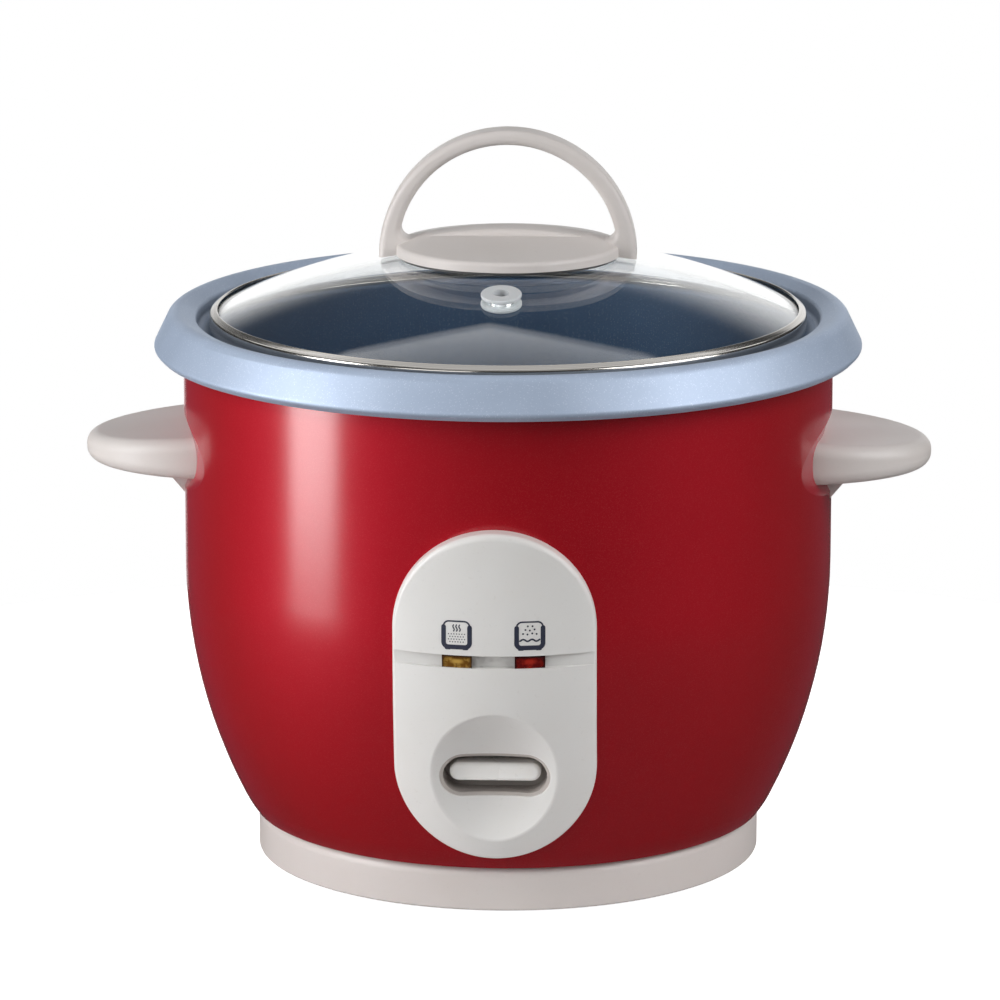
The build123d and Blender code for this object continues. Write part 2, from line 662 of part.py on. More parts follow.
# Lid glass: tempered dome with a ground edge, a middle hole and a vent hole
VENT_TILT = math.degrees(math.asin(VENT_REACH / DOME_R))
VENT_FOOT = Vector(0, -VENT_REACH, dome_z(VENT_REACH))
VENT_OUT = Vector(0, 0, 1).rotate(Axis.X, VENT_TILT)
VENT_PLANE = Plane(origin=VENT_FOOT, x_dir=(1, 0, 0), z_dir=VENT_OUT)
with BuildPart() as lid_glass:
    with BuildSketch(Plane.XZ):
        with BuildLine():
            top = RadiusArc((0, DOME_APEX_Z), (GLASS_R, GLASS_EDGE_Z), DOME_R)
            edge = Line(top @ 1, (GLASS_R, dome_z(GLASS_R, -GLASS_THICK)))
            under = RadiusArc(edge @ 1, (0, DOME_APEX_Z - GLASS_THICK), -(DOME_R - GLASS_THICK))
            Line(under @ 1, top @ 0)
        make_face()
    revolve(axis=Axis.Z)
    split(bisect_by=Plane.XY.offset(LID_Z + BAND_WALL + GLASS_GAP), keep=Keep.TOP)
    with BuildSketch(Plane.XY.offset(LID_Z)):
        Circle(LID_SCREW_R + GLASS_GAP)
    extrude(amount=DOME_APEX_Z, mode=Mode.SUBTRACT)
    with BuildSketch(VENT_PLANE.offset(-2 * GLASS_THICK)):
        Circle(VENT_NECK_R + GLASS_GAP)
    extrude(amount=3 * GLASS_THICK, mode=Mode.SUBTRACT)
lid_glass.part.label = "lid_glass"
export_step(lid_glass.part, "parts/lid_glass.step")

# Lid band: stainless channel rolled round the edge of the glass
BAND_IN_R = LID_R - BAND_WALL
BAND_LIP_R = BAND_IN_R - BAND_GRIP
with BuildPart() as lid_band:
    with BuildSketch(Plane.XZ):
        with BuildLine():
            Polyline(
                (BAND_LIP_R + BAND_WALL, LID_Z + BAND_WALL),
                (BAND_IN_R, LID_Z + BAND_WALL),
                (BAND_IN_R, dome_z(BAND_IN_R, GLASS_GAP)),
                (BAND_LIP_R, dome_z(BAND_LIP_R, GLASS_GAP)),
            )
            offset(amount=BAND_WALL, side=Side.RIGHT)
        make_face()
    revolve(axis=Axis.Z)
lid_band.part.label = "lid_band"
export_step(lid_band.part, "parts/lid_band.step")

# Steam vent: metal eyelet square to the dome, with a flange on each face of the glass
with BuildPart() as vent_eyelet:
    for level, height in ((GLASS_GAP, VENT_FLANGE), (-GLASS_THICK - GLASS_GAP, -VENT_FLANGE)):
        with BuildSketch(VENT_PLANE.offset(level)):
            Circle(VENT_FLANGE_R)
        extrude(amount=height)
    fillet(vent_eyelet.edges().filter_by(GeomType.CIRCLE), VENT_FLANGE * VENT_ROUND)
    with BuildSketch(VENT_PLANE.offset(-GLASS_THICK - GLASS_GAP - VENT_FLANGE)):
        Circle(VENT_NECK_R)
    extrude(amount=GLASS_THICK + 2 * GLASS_GAP + 2 * VENT_FLANGE)
    with BuildSketch(VENT_PLANE.offset(-GLASS_THICK - GLASS_GAP - VENT_FLANGE)):
        Circle(VENT_BORE_R)
    extrude(amount=GLASS_THICK + 2 * GLASS_GAP + 2 * VENT_FLANGE, mode=Mode.SUBTRACT)
vent_eyelet.part.label = "vent_eyelet"
export_step(vent_eyelet.part, "parts/vent_eyelet.step")

# Lid handle: arched grip on a crowned bar, standing on an oval apron shaped to the glass
ARCH_Z = DOME_APEX_Z + LID_HANDLE_APEX - LID_HANDLE_R
ARCH_IN_R = LID_HANDLE_R - LID_HANDLE_BAND
CROWN_Z = DOME_APEX_Z + CROWN_RISE
CROWN_END_Z = DOME_APEX_Z + CROWN_END_RISE
CROWN_END_X = math.sqrt(ARCH_IN_R ** 2 - (CROWN_END_Z - ARCH_Z) ** 2)
APRON_Z = DOME_APEX_Z + APRON_EDGE_RISE
APRON_TOP_Z = DOME_APEX_Z + APRON_TOP_RISE
APRON_FOOT_Z = DOME_APEX_Z - DOME_RISE / 2
with BuildPart() as dome_under_handle:
    with Locations((0, 0, DOME_CENTRE_Z)):
        Sphere(DOME_R + GASKET_THICK + GASKET_FIT)

WASHER_TOP_Z = dome_z(LID_WASHER_R, -GLASS_THICK)
LID_SCREW_START = Vector(0, 0, WASHER_TOP_Z - LID_WASHER_THICK)
LID_SCREW_LENGTH = DOME_APEX_Z + GASKET_THICK + LID_SCREW_BITE - LID_SCREW_START.Z
lid_screw = screws([(LID_SCREW_START, (0, 0, 1))], LID_SCREW_HEAD_R, SCREW_HEAD, LID_SCREW_R, LID_SCREW_LENGTH)
lid_screw.part.label = "lid_screw"
export_step(lid_screw.part, "parts/lid_screw.step")

with BuildPart() as apron:
    with BuildSketch(Plane.XY.offset(APRON_FOOT_Z)):
        Ellipse(APRON_HALF_WIDTH, APRON_HALF_DEPTH)
    extrude(amount=APRON_Z - APRON_FOOT_Z)
    with BuildSketch(Plane.XY.offset(APRON_Z)):
        Ellipse(APRON_HALF_WIDTH, APRON_HALF_DEPTH)
    with BuildSketch(Plane.XY.offset(APRON_TOP_Z)):
        Ellipse(APRON_TOP_HALF_WIDTH, LID_HANDLE_DEPTH / 2)
    loft(ruled=True)
    fillet(apron.edges().filter_by_position(Axis.Z, APRON_Z - GASKET_FIT, APRON_Z + GASKET_FIT), APRON_ROUND)

with BuildPart() as lid_handle:
    with BuildSketch(Plane.XZ):
        with BuildLine():
            arch = CenterArc((0, ARCH_Z), LID_HANDLE_R, 0, 180)
            Polyline(arch @ 1, (-LID_HANDLE_R, APRON_FOOT_Z), (LID_HANDLE_R, APRON_FOOT_Z), arch @ 0)
        make_face()
        with BuildLine():
            crown = ThreePointArc((CROWN_END_X, CROWN_END_Z), (0, CROWN_Z), (-CROWN_END_X, CROWN_END_Z))
            ThreePointArc(crown @ 1, (0, ARCH_Z + LID_HANDLE_R - LID_HANDLE_TOP_BAND), crown @ 0)
        make_face(mode=Mode.SUBTRACT)
    extrude(amount=LID_HANDLE_DEPTH / 2, both=True)
    corners = lid_handle.edges().filter_by(Axis.Y)
    fillet(corners.filter_by_position(Axis.Z, CROWN_END_Z - 0.1, CROWN_END_Z + 0.1), LID_HANDLE_BAND / 2)
    for face_y in (LID_HANDLE_DEPTH / 2, -LID_HANDLE_DEPTH / 2):
        side = lid_handle.faces().filter_by(Axis.Y).filter_by_position(Axis.Y, face_y - 0.1, face_y + 0.1)
        rims = side.edges()
        fillet(rims.filter_by_position(Axis.Z, APRON_FOOT_Z + 0.1, ARCH_Z + LID_HANDLE_R), LID_HANDLE_ROUND)
    add(apron.part)
    add(dome_under_handle.part, mode=Mode.SUBTRACT)
    add(lid_screw.part, mode=Mode.SUBTRACT)
lid_handle.part.label = "lid_handle"
export_step(lid_handle.part, "parts/lid_handle.step")

# Handle gasket: soft oval sheet between the apron and the glass
with BuildPart() as handle_gasket:
    with BuildSketch(Plane.XY.offset(APRON_FOOT_Z)):
        Ellipse(APRON_HALF_WIDTH - GASKET_INSET, APRON_HALF_DEPTH - GASKET_INSET)
        Circle(LID_SCREW_R, mode=Mode.SUBTRACT)
    extrude(amount=DOME_RISE)
    with Locations((0, 0, DOME_CENTRE_Z)):
        Sphere(DOME_R + GASKET_THICK, mode=Mode.INTERSECT)
        Sphere(DOME_R, mode=Mode.SUBTRACT)
handle_gasket.part.label = "handle_gasket"
export_step(handle_gasket.part, "parts/handle_gasket.step")

# Handle washer: disc under the glass that spreads the load of the screw
with BuildPart() as handle_washer:
    with BuildSketch(Plane.XY.offset(WASHER_TOP_Z)):
        Circle(LID_WASHER_R)
        Circle(LID_SCREW_R, mode=Mode.SUBTRACT)
    extrude(amount=-LID_WASHER_THICK)
handle_washer.part.label = "handle_washer"
export_step(handle_washer.part, "parts/handle_washer.step")

# Carry handles: tapered ears cored out from below, their roots shaped to the pressed seats
HANDLE_ROOT_X = SEAT_R - HANDLE_ROOT
HANDLE_TIP_X = BODY_R + HANDLE_REACH
HANDLE_LENGTH = HANDLE_TIP_X - HANDLE_ROOT_X
HANDLE_TOP_Z = HANDLE_Z + HANDLE_THICK / 2
HANDLE_UNDER_Z = HANDLE_Z - HANDLE_THICK / 2
HANDLE_TIP_TOP_Z = HANDLE_Z - HANDLE_TIP_DROP + HANDLE_TIP_THICK / 2
HANDLE_TIP_UNDER_Z = HANDLE_TIP_TOP_Z - HANDLE_TIP_THICK
CORE_X = SEAT_R + SCREW_BITE + HANDLE_WALL
with BuildPart() as right_handle:
    with BuildSketch(Plane.XY.offset(HANDLE_Z)):
        with Locations((HANDLE_ROOT_X, 0)):
            Ellipse(HANDLE_LENGTH, HANDLE_HALF_WIDTH)
    extrude(amount=HANDLE_THICK, both=True)
    with BuildSketch(Plane.XZ):
        with BuildLine():
            Polyline(
                (HANDLE_ROOT_X - HANDLE_LENGTH, 2 * HANDLE_TOP_Z - HANDLE_TIP_TOP_Z),
                (HANDLE_TIP_X, HANDLE_TIP_TOP_Z),
                (HANDLE_TIP_X, HANDLE_TIP_UNDER_Z),
                (HANDLE_ROOT_X - HANDLE_LENGTH, 2 * HANDLE_UNDER_Z - HANDLE_TIP_UNDER_Z),
                close=True,
            )
        make_face()
    extrude(amount=2 * HANDLE_HALF_WIDTH, both=True, mode=Mode.INTERSECT)
    fillet(right_handle.edges().filter_by(GeomType.LINE, reverse=True), HANDLE_ROUND)
    with BuildSketch(Plane.XY.offset(HANDLE_UNDER_Z)):
        with Locations((HANDLE_ROOT_X, 0)):
            Ellipse(HANDLE_LENGTH - HANDLE_WALL, HANDLE_HALF_WIDTH - HANDLE_WALL)
        with Locations((CORE_X, 0)):
            Rectangle(CORE_X, BODY_R, align=(Align.MAX, Align.CENTER), mode=Mode.SUBTRACT)
        Rectangle(2 * BODY_R + 2 * HANDLE_REACH, HANDLE_RIB, mode=Mode.SUBTRACT)
    extrude(amount=HANDLE_CORE_DEPTH, mode=Mode.SUBTRACT)
    with BuildSketch(Plane.XZ):
        with BuildLine():
            Polyline(
                (HANDLE_ROOT_X, HANDLE_Z),
                (SEAT_R + TONGUE_REACH, HANDLE_Z),
                (SEAT_R + TONGUE_REACH, HANDLE_UNDER_Z),
                (SEAT_R + TONGUE_REACH / 4, HANDLE_UNDER_Z - TONGUE_DROP),
                (HANDLE_ROOT_X, HANDLE_UNDER_Z - TONGUE_DROP),
                close=True,
            )
        make_face()
    extrude(amount=TONGUE_WIDTH / 2, both=True)
    add(pressed_body.part, mode=Mode.SUBTRACT)
    add(handle_screws.part, mode=Mode.SUBTRACT)
right_handle.part.label = "right_handle"
export_step(right_handle.part, "parts/right_handle.step")

with BuildPart() as left_handle:
    add(right_handle.part)
    mirror(about=Plane.YZ, mode=Mode.REPLACE)
left_handle.part.label = "left_handle"
export_step(left_handle.part, "parts/left_handle.step")

# Lamp lenses: clear blocks let through the floor of the panel's groove
GROOVE_FLOOR_R = wall_radius(GROOVE_Z) + GROOVE_FLOOR
LENS_BACK_Y = -(GROOVE_FLOOR_R - PANEL_WALL)
LENS_FORM = panel_form(PANEL_PROUD - LENS_RECESS)
LENS_ROWS = (("warm_lens", -LENS_PITCH / 2), ("cook_lens", LENS_PITCH / 2))
lenses = []
for name, lens_x in LENS_ROWS:
    with BuildPart() as lens:
        with BuildSketch(Plane.XZ.offset(-LENS_BACK_Y)):
            with Locations((lens_x, GROOVE_Z)):
                Rectangle(LENS_WIDTH, GROOVE_HEIGHT)
        extrude(amount=PANEL_PROUD + PANEL_WALL)
        add(LENS_FORM, mode=Mode.INTERSECT)
    lens.part.label = name
    export_step(lens.part, f"parts/{name}.step")
    lenses.append(lens.part)

# Control panel: bowed stadium moulding with a lip on the shell, a spigot through its opening,
# a lamp groove and a dished recess round the switch slot
SLOPE = math.asin(max(0, STRAIGHT_Z - SWITCH_Z) / BELLY_R)
DISH_FACE_Y = -(wall_radius(SWITCH_Z) + PANEL_PROUD)
DISH_STAND = DISH_R - DISH_DEPTH
DISH_CENTRE = Vector(0, DISH_FACE_Y - DISH_STAND * math.cos(SLOPE), SWITCH_Z - DISH_STAND * math.sin(SLOPE))
KEY_Z = SWITCH_Z + KEY_REST_RISE
KEY_FRONT_Y = DISH_CENTRE.Y + math.sqrt(DISH_R ** 2 - (KEY_Z - DISH_CENTRE.Z) ** 2) - KEY_PROUD
SLOT_BACK_Y = KEY_FRONT_Y + SLOT_DEPTH
SPIGOT_WIDTH = OPENING_WIDTH - 2 * PANEL_FIT
SPIGOT_HEIGHT = OPENING_HEIGHT - 2 * PANEL_FIT
HOLLOW_WIDTH = SPIGOT_WIDTH - 2 * PANEL_WALL
HOLLOW_HEIGHT = SPIGOT_HEIGHT - 2 * PANEL_WALL
PANEL_BLANK = upright_slot(PANEL_WIDTH, PANEL_HEIGHT, PANEL_MID_Z)
PANEL_FRONT = panel_form(PANEL_PROUD)
HOLLOW_BLANK = upright_slot(HOLLOW_WIDTH, HOLLOW_HEIGHT, OPENING_MID_Z)
HOLLOW_FRONT = panel_form(PANEL_PROUD - PANEL_WALL)
SPIGOT_BLANK = upright_slot(SPIGOT_WIDTH, SPIGOT_HEIGHT, OPENING_MID_Z)
SPIGOT_BACK = body_form(BODY_WALL + SPIGOT, BODY_TOP_Z)
SWITCH_SLOT = level_slot(SLOT_WIDTH, SLOT_HEIGHT, SWITCH_Z, SLOT_BACK_Y, DISH_FACE_Y)


def on_dish(edge):
    """True for an edge that lies on the ball of the dished recess."""
    return abs((edge @ 0.5 - DISH_CENTRE).length - DISH_R) < PANEL_FIT / 10


def on_slot(edge):
    """True for an edge within the outline of the switch slot."""
    middle = edge @ 0.5
    return abs(middle.X) <= SLOT_WIDTH / 2 + PANEL_FIT and abs(middle.Z - SWITCH_Z) <= SLOT_HEIGHT / 2 + PANEL_FIT


with BuildPart() as groove_ring:
    with BuildSketch(Plane.XY.offset(GROOVE_Z - GROOVE_HEIGHT / 2)):
        Circle(GROOVE_FLOOR_R + PANEL_PROUD)
        Circle(GROOVE_FLOOR_R, mode=Mode.SUBTRACT)
    extrude(amount=GROOVE_HEIGHT)

with BuildPart() as groove_backing:
    with BuildSketch(Plane.XY.offset(GROOVE_Z - GROOVE_HEIGHT / 2 - PANEL_WALL)):
        Circle(GROOVE_FLOOR_R + PANEL_PROUD)
        Circle(GROOVE_FLOOR_R - PANEL_WALL, mode=Mode.SUBTRACT)
    extrude(amount=GROOVE_HEIGHT + 2 * PANEL_WALL)

with BuildPart() as panel_hollow:
    add(HOLLOW_BLANK)
    add(HOLLOW_FRONT, mode=Mode.INTERSECT)
    add(groove_backing.part, mode=Mode.SUBTRACT)
    with Locations(DISH_CENTRE):
        Sphere(DISH_R + PANEL_WALL, mode=Mode.SUBTRACT)

with BuildPart() as body_round_spigot:
    add(BODY_OUTER)
    add(SPIGOT_BLANK, mode=Mode.SUBTRACT)

with BuildPart() as control_panel:
    add(PANEL_BLANK)
    add(PANEL_FRONT, mode=Mode.INTERSECT)
    front_edges = control_panel.edges().filter_by_position(Axis.Y, -2 * BODY_R, BOW_Y - PANEL_WALL)
    outline = front_edges.filter_by(Axis.Y, reverse=True)
    fillet(outline.filter_by(lambda e: e.bounding_box().size.Z > PANEL_FIT), PANEL_ROUND)
    add(body_round_spigot.part, mode=Mode.SUBTRACT)
    add(SPIGOT_BACK, mode=Mode.SUBTRACT)
    add(panel_hollow.part, mode=Mode.SUBTRACT)
    add(groove_ring.part, mode=Mode.SUBTRACT)
    with Locations(DISH_CENTRE):
        Sphere(DISH_R, mode=Mode.SUBTRACT)
    fillet(control_panel.edges().filter_by(on_dish), DISH_ROUND)
    add(SWITCH_SLOT, mode=Mode.SUBTRACT)
    fillet(control_panel.edges().filter_by(on_dish).filter_by(on_slot), SLOT_ROUND)
    add(lenses, mode=Mode.SUBTRACT)
    add(panel_screws.part, mode=Mode.SUBTRACT)
control_panel.part.label = "control_panel"
export_step(control_panel.part, "parts/control_panel.step")

# Indicator lamps: glass capsules behind the lenses, and the plate that carries them
LAMP_END_X = LENS_PITCH / 2 + LAMP_LENGTH / 2
LAMP_Y = LAMP_GAP + LAMP_R - math.sqrt(LENS_BACK_Y ** 2 - LAMP_END_X ** 2)
lamps = []
for name, lamp_x in (("warm_lamp", -LENS_PITCH / 2), ("cook_lamp", LENS_PITCH / 2)):
    with BuildPart() as lamp:
        with BuildSketch(Plane.YZ.offset(lamp_x - LAMP_LENGTH / 2)):
            with Locations((LAMP_Y, GROOVE_Z)):
                Circle(LAMP_R)
        extrude(amount=LAMP_LENGTH)
        fillet(lamp.edges().filter_by(GeomType.CIRCLE), LAMP_R / 2)
    lamp.part.label = name
    export_step(lamp.part, f"parts/{name}.step")
    lamps.append(lamp.part)

with BuildPart() as lamp_bracket:
    with BuildSketch(Plane.XZ.offset(-LAMP_Y - LAMP_R / 2)):
        with Locations((0, GROOVE_Z)):
            Rectangle(HOLLOW_WIDTH, LAMP_LENGTH)
    extrude(amount=-LAMP_R / 2 - LAMP_PLATE)
    add(HOLLOW_BLANK, mode=Mode.INTERSECT)
    add(lamps, mode=Mode.SUBTRACT)
lamp_bracket.part.label = "lamp_bracket"
export_step(lamp_bracket.part, "parts/lamp_bracket.step")

# Slot liner: dark pocket behind the switch slot, slit at the back for the lever
LINER_SLOT = level_slot(SLOT_WIDTH - 2 * SLOT_WALL, SLOT_HEIGHT - 2 * SLOT_WALL, SWITCH_Z,
                        SLOT_BACK_Y - SLOT_WALL, DISH_FACE_Y)
SLIT_HEIGHT = LEVER_THICK + KEY_TRAVEL + 2 * FORK_GAP
with BuildPart() as slot_liner:
    add(SWITCH_SLOT)
    add(LINER_SLOT, mode=Mode.SUBTRACT)
    with Locations(DISH_CENTRE):
        Sphere(DISH_R + SLOT_RECESS, mode=Mode.SUBTRACT)
    with BuildSketch(Plane.XZ.offset(-SLOT_BACK_Y)):
        with Locations((0, KEY_Z - KEY_TRAVEL / 2)):
            Rectangle(LEVER_WIDTH + 2 * FORK_GAP, SLIT_HEIGHT)
    extrude(amount=SLOT_WALL, mode=Mode.SUBTRACT)
slot_liner.part.label = "slot_liner"
export_step(slot_liner.part, "parts/slot_liner.step")

# Switch lever: cranked strip from the key to a fork round the magnet rod, on a tube knuckle
LEVER_TOP_Z = LEVER_Z + LEVER_THICK / 2
KNUCKLE_HALF = LEVER_WIDTH / 2 + CHEEK_GAP - PIVOT_CLEARANCE
with BuildPart() as lever_arm:
    with BuildSketch(Plane.YZ):
        with BuildLine():
            FilletPolyline(
                (KEY_FRONT_Y + LEVER_ENTRY, KEY_Z + LEVER_THICK / 2),
                (SLOT_BACK_Y + LEVER_BEND_R, KEY_Z + LEVER_THICK / 2),
                (PIVOT_Y - LEVER_CRANK, LEVER_TOP_Z),
                (FORK_REACH, LEVER_TOP_Z),
                radius=LEVER_BEND_R,
            )
            offset(amount=LEVER_THICK, side=Side.RIGHT)
        make_face()
    extrude(amount=LEVER_WIDTH / 2, both=True)
    with BuildSketch(Plane.XY.offset(LEVER_TOP_Z)):
        with Locations((0, -ROD_R - 2 * FORK_GAP)):
            Rectangle(2 * ROD_R + 2 * FORK_GAP, BODY_R, align=(Align.CENTER, Align.MIN))
    extrude(amount=-LEVER_THICK, mode=Mode.SUBTRACT)
    with BuildSketch(Plane.YZ):
        with Locations((PIVOT_Y, PIVOT_Z)):
            Circle(KNUCKLE_R)
    extrude(amount=KNUCKLE_HALF, both=True)
    with BuildSketch(Plane.YZ):
        with Locations((PIVOT_Y, PIVOT_Z)):
            Circle(PIVOT_R + PIVOT_CLEARANCE)
    extrude(amount=KNUCKLE_HALF, both=True, mode=Mode.SUBTRACT)
lever_arm.part.label = "lever_arm"
export_step(lever_arm.part, "parts/lever_arm.step")

# Switch key: rounded paddle moulded on the front of the lever
KEY_BLANK = level_slot(KEY_WIDTH, KEY_HEIGHT, KEY_Z, KEY_FRONT_Y + KEY_DEPTH, KEY_FRONT_Y)
with BuildPart() as switch_key:
    add(KEY_BLANK)
    fillet(switch_key.faces().sort_by(Axis.Y)[0].edges(), KEY_ROUND)
    add(lever_arm.part, mode=Mode.SUBTRACT)
switch_key.part.label = "switch_key"
export_step(switch_key.part, "parts/switch_key.step")

# Lever bracket and pivot pin: hat-shaped hanger under the liner floor
CHEEK_IN = LEVER_WIDTH / 2 + CHEEK_GAP
CHEEK_OUT = CHEEK_IN + CHEEK_WALL
CHEEK_Z = PIVOT_Z - BRACKET_MARGIN
with BuildPart() as lever_pivot_pin:
    with BuildSketch(Plane.YZ):
        with Locations((PIVOT_Y, PIVOT_Z)):
            Circle(PIVOT_R)
    extrude(amount=CHEEK_OUT + CHEEK_WALL, both=True)
lever_pivot_pin.part.label = "lever_pivot_pin"
export_step(lever_pivot_pin.part, "parts/lever_pivot_pin.step")

with BuildPart() as lever_bracket:
    with BuildSketch(Plane.XZ.offset(-PIVOT_Y)):
        with BuildLine():
            Polyline(
                (CHEEK_IN, CHEEK_Z),
                (CHEEK_OUT, CHEEK_Z),
                (CHEEK_OUT, FLOOR_UNDER_Z - CHEEK_WALL),
                (CHEEK_OUT + BRACKET_WING, FLOOR_UNDER_Z - CHEEK_WALL),
                (CHEEK_OUT + BRACKET_WING, FLOOR_UNDER_Z),
                (0, FLOOR_UNDER_Z),
                (0, FLOOR_UNDER_Z - CHEEK_WALL),
                (CHEEK_IN, FLOOR_UNDER_Z - CHEEK_WALL),
                close=True,
            )
        make_face()
        mirror(about=Plane.YZ)
    extrude(amount=BRACKET_LENGTH / 2, both=True)
    add(lever_pivot_pin.part, mode=Mode.SUBTRACT)
lever_bracket.part.label = "lever_bracket"
export_step(lever_bracket.part, "parts/lever_bracket.step")

# Magnet and its rod: collars above and below the lever's fork, a plate under the magnet
KEY_SWING = math.asin(KEY_TRAVEL / (PIVOT_Y - KEY_FRONT_Y))
MAGNET_LIFT = PIVOT_REACH * KEY_SWING
MAGNET_TOP_Z = FERRITE_Z - MAGNET_LIFT - SENSOR_TRAVEL - MAGNET_CLEARANCE
MAGNET_Z = MAGNET_TOP_Z - MAGNET_THICK
COLLAR_Z = LEVER_TOP_Z + FORK_GAP
COLLAR_TOP_Z = COLLAR_Z + ROD_COLLAR
ROD_Z = LEVER_TOP_Z - LEVER_THICK - FORK_GAP - ROD_COLLAR
with BuildPart() as magnet_rod:
    with BuildSketch(Plane.XY.offset(ROD_Z)):
        Circle(ROD_R)
    extrude(amount=MAGNET_Z - ROD_Z)
    with BuildSketch(Plane.XY.offset(ROD_Z), Plane.XY.offset(COLLAR_Z)):
        Circle(ROD_COLLAR_R)
    extrude(amount=ROD_COLLAR)
    with BuildSketch(Plane.XY.offset(MAGNET_Z - ROD_COLLAR)):
        Circle(MAGNET_R)
    extrude(amount=ROD_COLLAR)
magnet_rod.part.label = "magnet_rod"
export_step(magnet_rod.part, "parts/magnet_rod.step")

with BuildPart() as magnet:
    with BuildSketch(Plane.XY.offset(MAGNET_Z)):
        Circle(MAGNET_R)
    extrude(amount=MAGNET_THICK)
magnet.part.label = "magnet"
export_step(magnet.part, "parts/magnet.step")

# Sensor cap and ferrite: sprung cup in the middle of the plate, stopped by its flange
with BuildPart() as sensor_cap:
    with BuildSketch(Plane.XY.offset(CAP_Z)):
        Circle(CAP_R)
    extrude(amount=CAP_HEIGHT)
    fillet(sensor_cap.edges().group_by(Axis.Z)[-1], CAP_WALL)
    with BuildSketch(Plane.XY.offset(CAP_FLANGE_Z)):
        Circle(CAP_FLANGE_R)
    extrude(amount=CAP_WALL)
    with BuildSketch(Plane.XY.offset(CAP_Z)):
        Circle(CAP_R - CAP_WALL)
    extrude(amount=CAP_HEIGHT - CAP_WALL, mode=Mode.SUBTRACT)
sensor_cap.part.label = "sensor_cap"
export_step(sensor_cap.part, "parts/sensor_cap.step")

with BuildPart() as ferrite_disc:
    with BuildSketch(Plane.XY.offset(FERRITE_Z)):
        Circle(FERRITE_R)
    extrude(amount=FERRITE_THICK)
ferrite_disc.part.label = "ferrite_disc"
export_step(ferrite_disc.part, "parts/ferrite_disc.step")

# Sensor cage: pressed cup hung under the plate, with windows in its wall
with BuildPart() as sensor_cage:
    with BuildSketch(Plane.XY.offset(CAGE_Z)):
        Circle(CAGE_R)
    extrude(amount=CAGE_DEPTH)
    with BuildSketch(Plane.XY.offset(HEATER_UNDER_Z)):
        Circle(CAGE_R + CAGE_FLANGE)
    extrude(amount=-CAGE_WALL)
    with BuildSketch(Plane.XY.offset(CAGE_Z + CAGE_WALL)):
        Circle(CAGE_R - CAGE_WALL)
    extrude(amount=CAGE_DEPTH, mode=Mode.SUBTRACT)
    with BuildSketch(Plane.XY.offset(CAGE_Z)):
        Circle(ROD_R + FORK_GAP)
    extrude(amount=CAGE_WALL, mode=Mode.SUBTRACT)
    with BuildSketch(Plane.XY.offset(CAGE_Z + CAGE_DEPTH / 3)):
        with PolarLocations(CAGE_R, BOSS_COUNT):
            Rectangle(CAGE_R, CAGE_R)
    extrude(amount=CAGE_DEPTH / 3, mode=Mode.SUBTRACT)
sensor_cage.part.label = "sensor_cage"
export_step(sensor_cage.part, "parts/sensor_cage.step")

# Springs: one under the sensor cap, one that pushes the magnet rod down
sensor_spring = spring(CAP_R - CAP_WALL / 2, CAGE_Z + CAGE_WALL, CAP_Z)
sensor_spring.part.label = "sensor_spring"
export_step(sensor_spring.part, "parts/sensor_spring.step")

release_spring = spring(RELEASE_SPRING_R, COLLAR_TOP_Z, CAGE_Z)
release_spring.part.label = "release_spring"
export_step(release_spring.part, "parts/release_spring.step")

# Contact block with its two blades, and the thermal fuse, under the liner floor
CONTACT_Y = PIVOT_Y
BLADE_X = (CONTACT_X - CONTACT_WIDTH / 4, CONTACT_X + CONTACT_WIDTH / 4)
with BuildPart() as contact_blades:
    for blade_x in BLADE_X:
        with BuildSketch(Plane.XY.offset(FLOOR_UNDER_Z - CONTACT_HEIGHT / 2)):
            with Locations((blade_x, CONTACT_Y)):
                Rectangle(BLADE_THICK, BLADE_WIDTH)
        extrude(amount=-CONTACT_HEIGHT / 2 - BLADE_DROP)
contact_blades.part.label = "contact_blades"
export_step(contact_blades.part, "parts/contact_blades.step")

with BuildPart() as contact_block:
    with BuildSketch(Plane.XY.offset(FLOOR_UNDER_Z)):
        with Locations((CONTACT_X, CONTACT_Y)):
            Rectangle(CONTACT_WIDTH, CONTACT_DEPTH)
    extrude(amount=-CONTACT_HEIGHT)
    add(contact_blades.part, mode=Mode.SUBTRACT)
contact_block.part.label = "contact_block"
export_step(contact_block.part, "parts/contact_block.step")

with BuildPart() as thermal_fuse:
    with BuildSketch(Plane.YZ.offset(FUSE_X - FUSE_LENGTH / 2)):
        with Locations((PIVOT_Y, FLOOR_UNDER_Z - FUSE_R)):
            Circle(FUSE_R)
            Rectangle(2 * FUSE_R, FUSE_R, align=(Align.CENTER, Align.MIN))
    extrude(amount=FUSE_LENGTH)
thermal_fuse.part.label = "thermal_fuse"
export_step(thermal_fuse.part, "parts/thermal_fuse.step")

# Keep-warm heater: flat band round the back of the liner
with BuildPart() as keep_warm_heater:
    with BuildSketch(Plane.XZ.rotated((0, 0, 90 - WARMER_ARC / 2))):
        with Locations((LINER_R + LINER_WALL, LINER_FLOOR_Z + WARMER_RAISE)):
            Rectangle(WARMER_THICK, WARMER_HEIGHT, align=(Align.MIN, Align.CENTER))
    revolve(axis=Axis.Z, revolution_arc=WARMER_ARC)
keep_warm_heater.part.label = "keep_warm_heater"
export_step(keep_warm_heater.part, "parts/keep_warm_heater.step")
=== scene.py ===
"""Looks of a small rice cooker: finishes, fine surfaces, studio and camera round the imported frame.

Lengths in the geometry are millimetres and become metres where a mesh is made. +Z is up and the
control panel faces -Y.
"""
import json
import logging
import math
from dataclasses import dataclass, field
from enum import Enum
from functools import cache
from typing import Optional, Sequence, Union

import bmesh
import bpy
import numpy as np
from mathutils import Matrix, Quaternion, Vector
from numpy.typing import NDArray


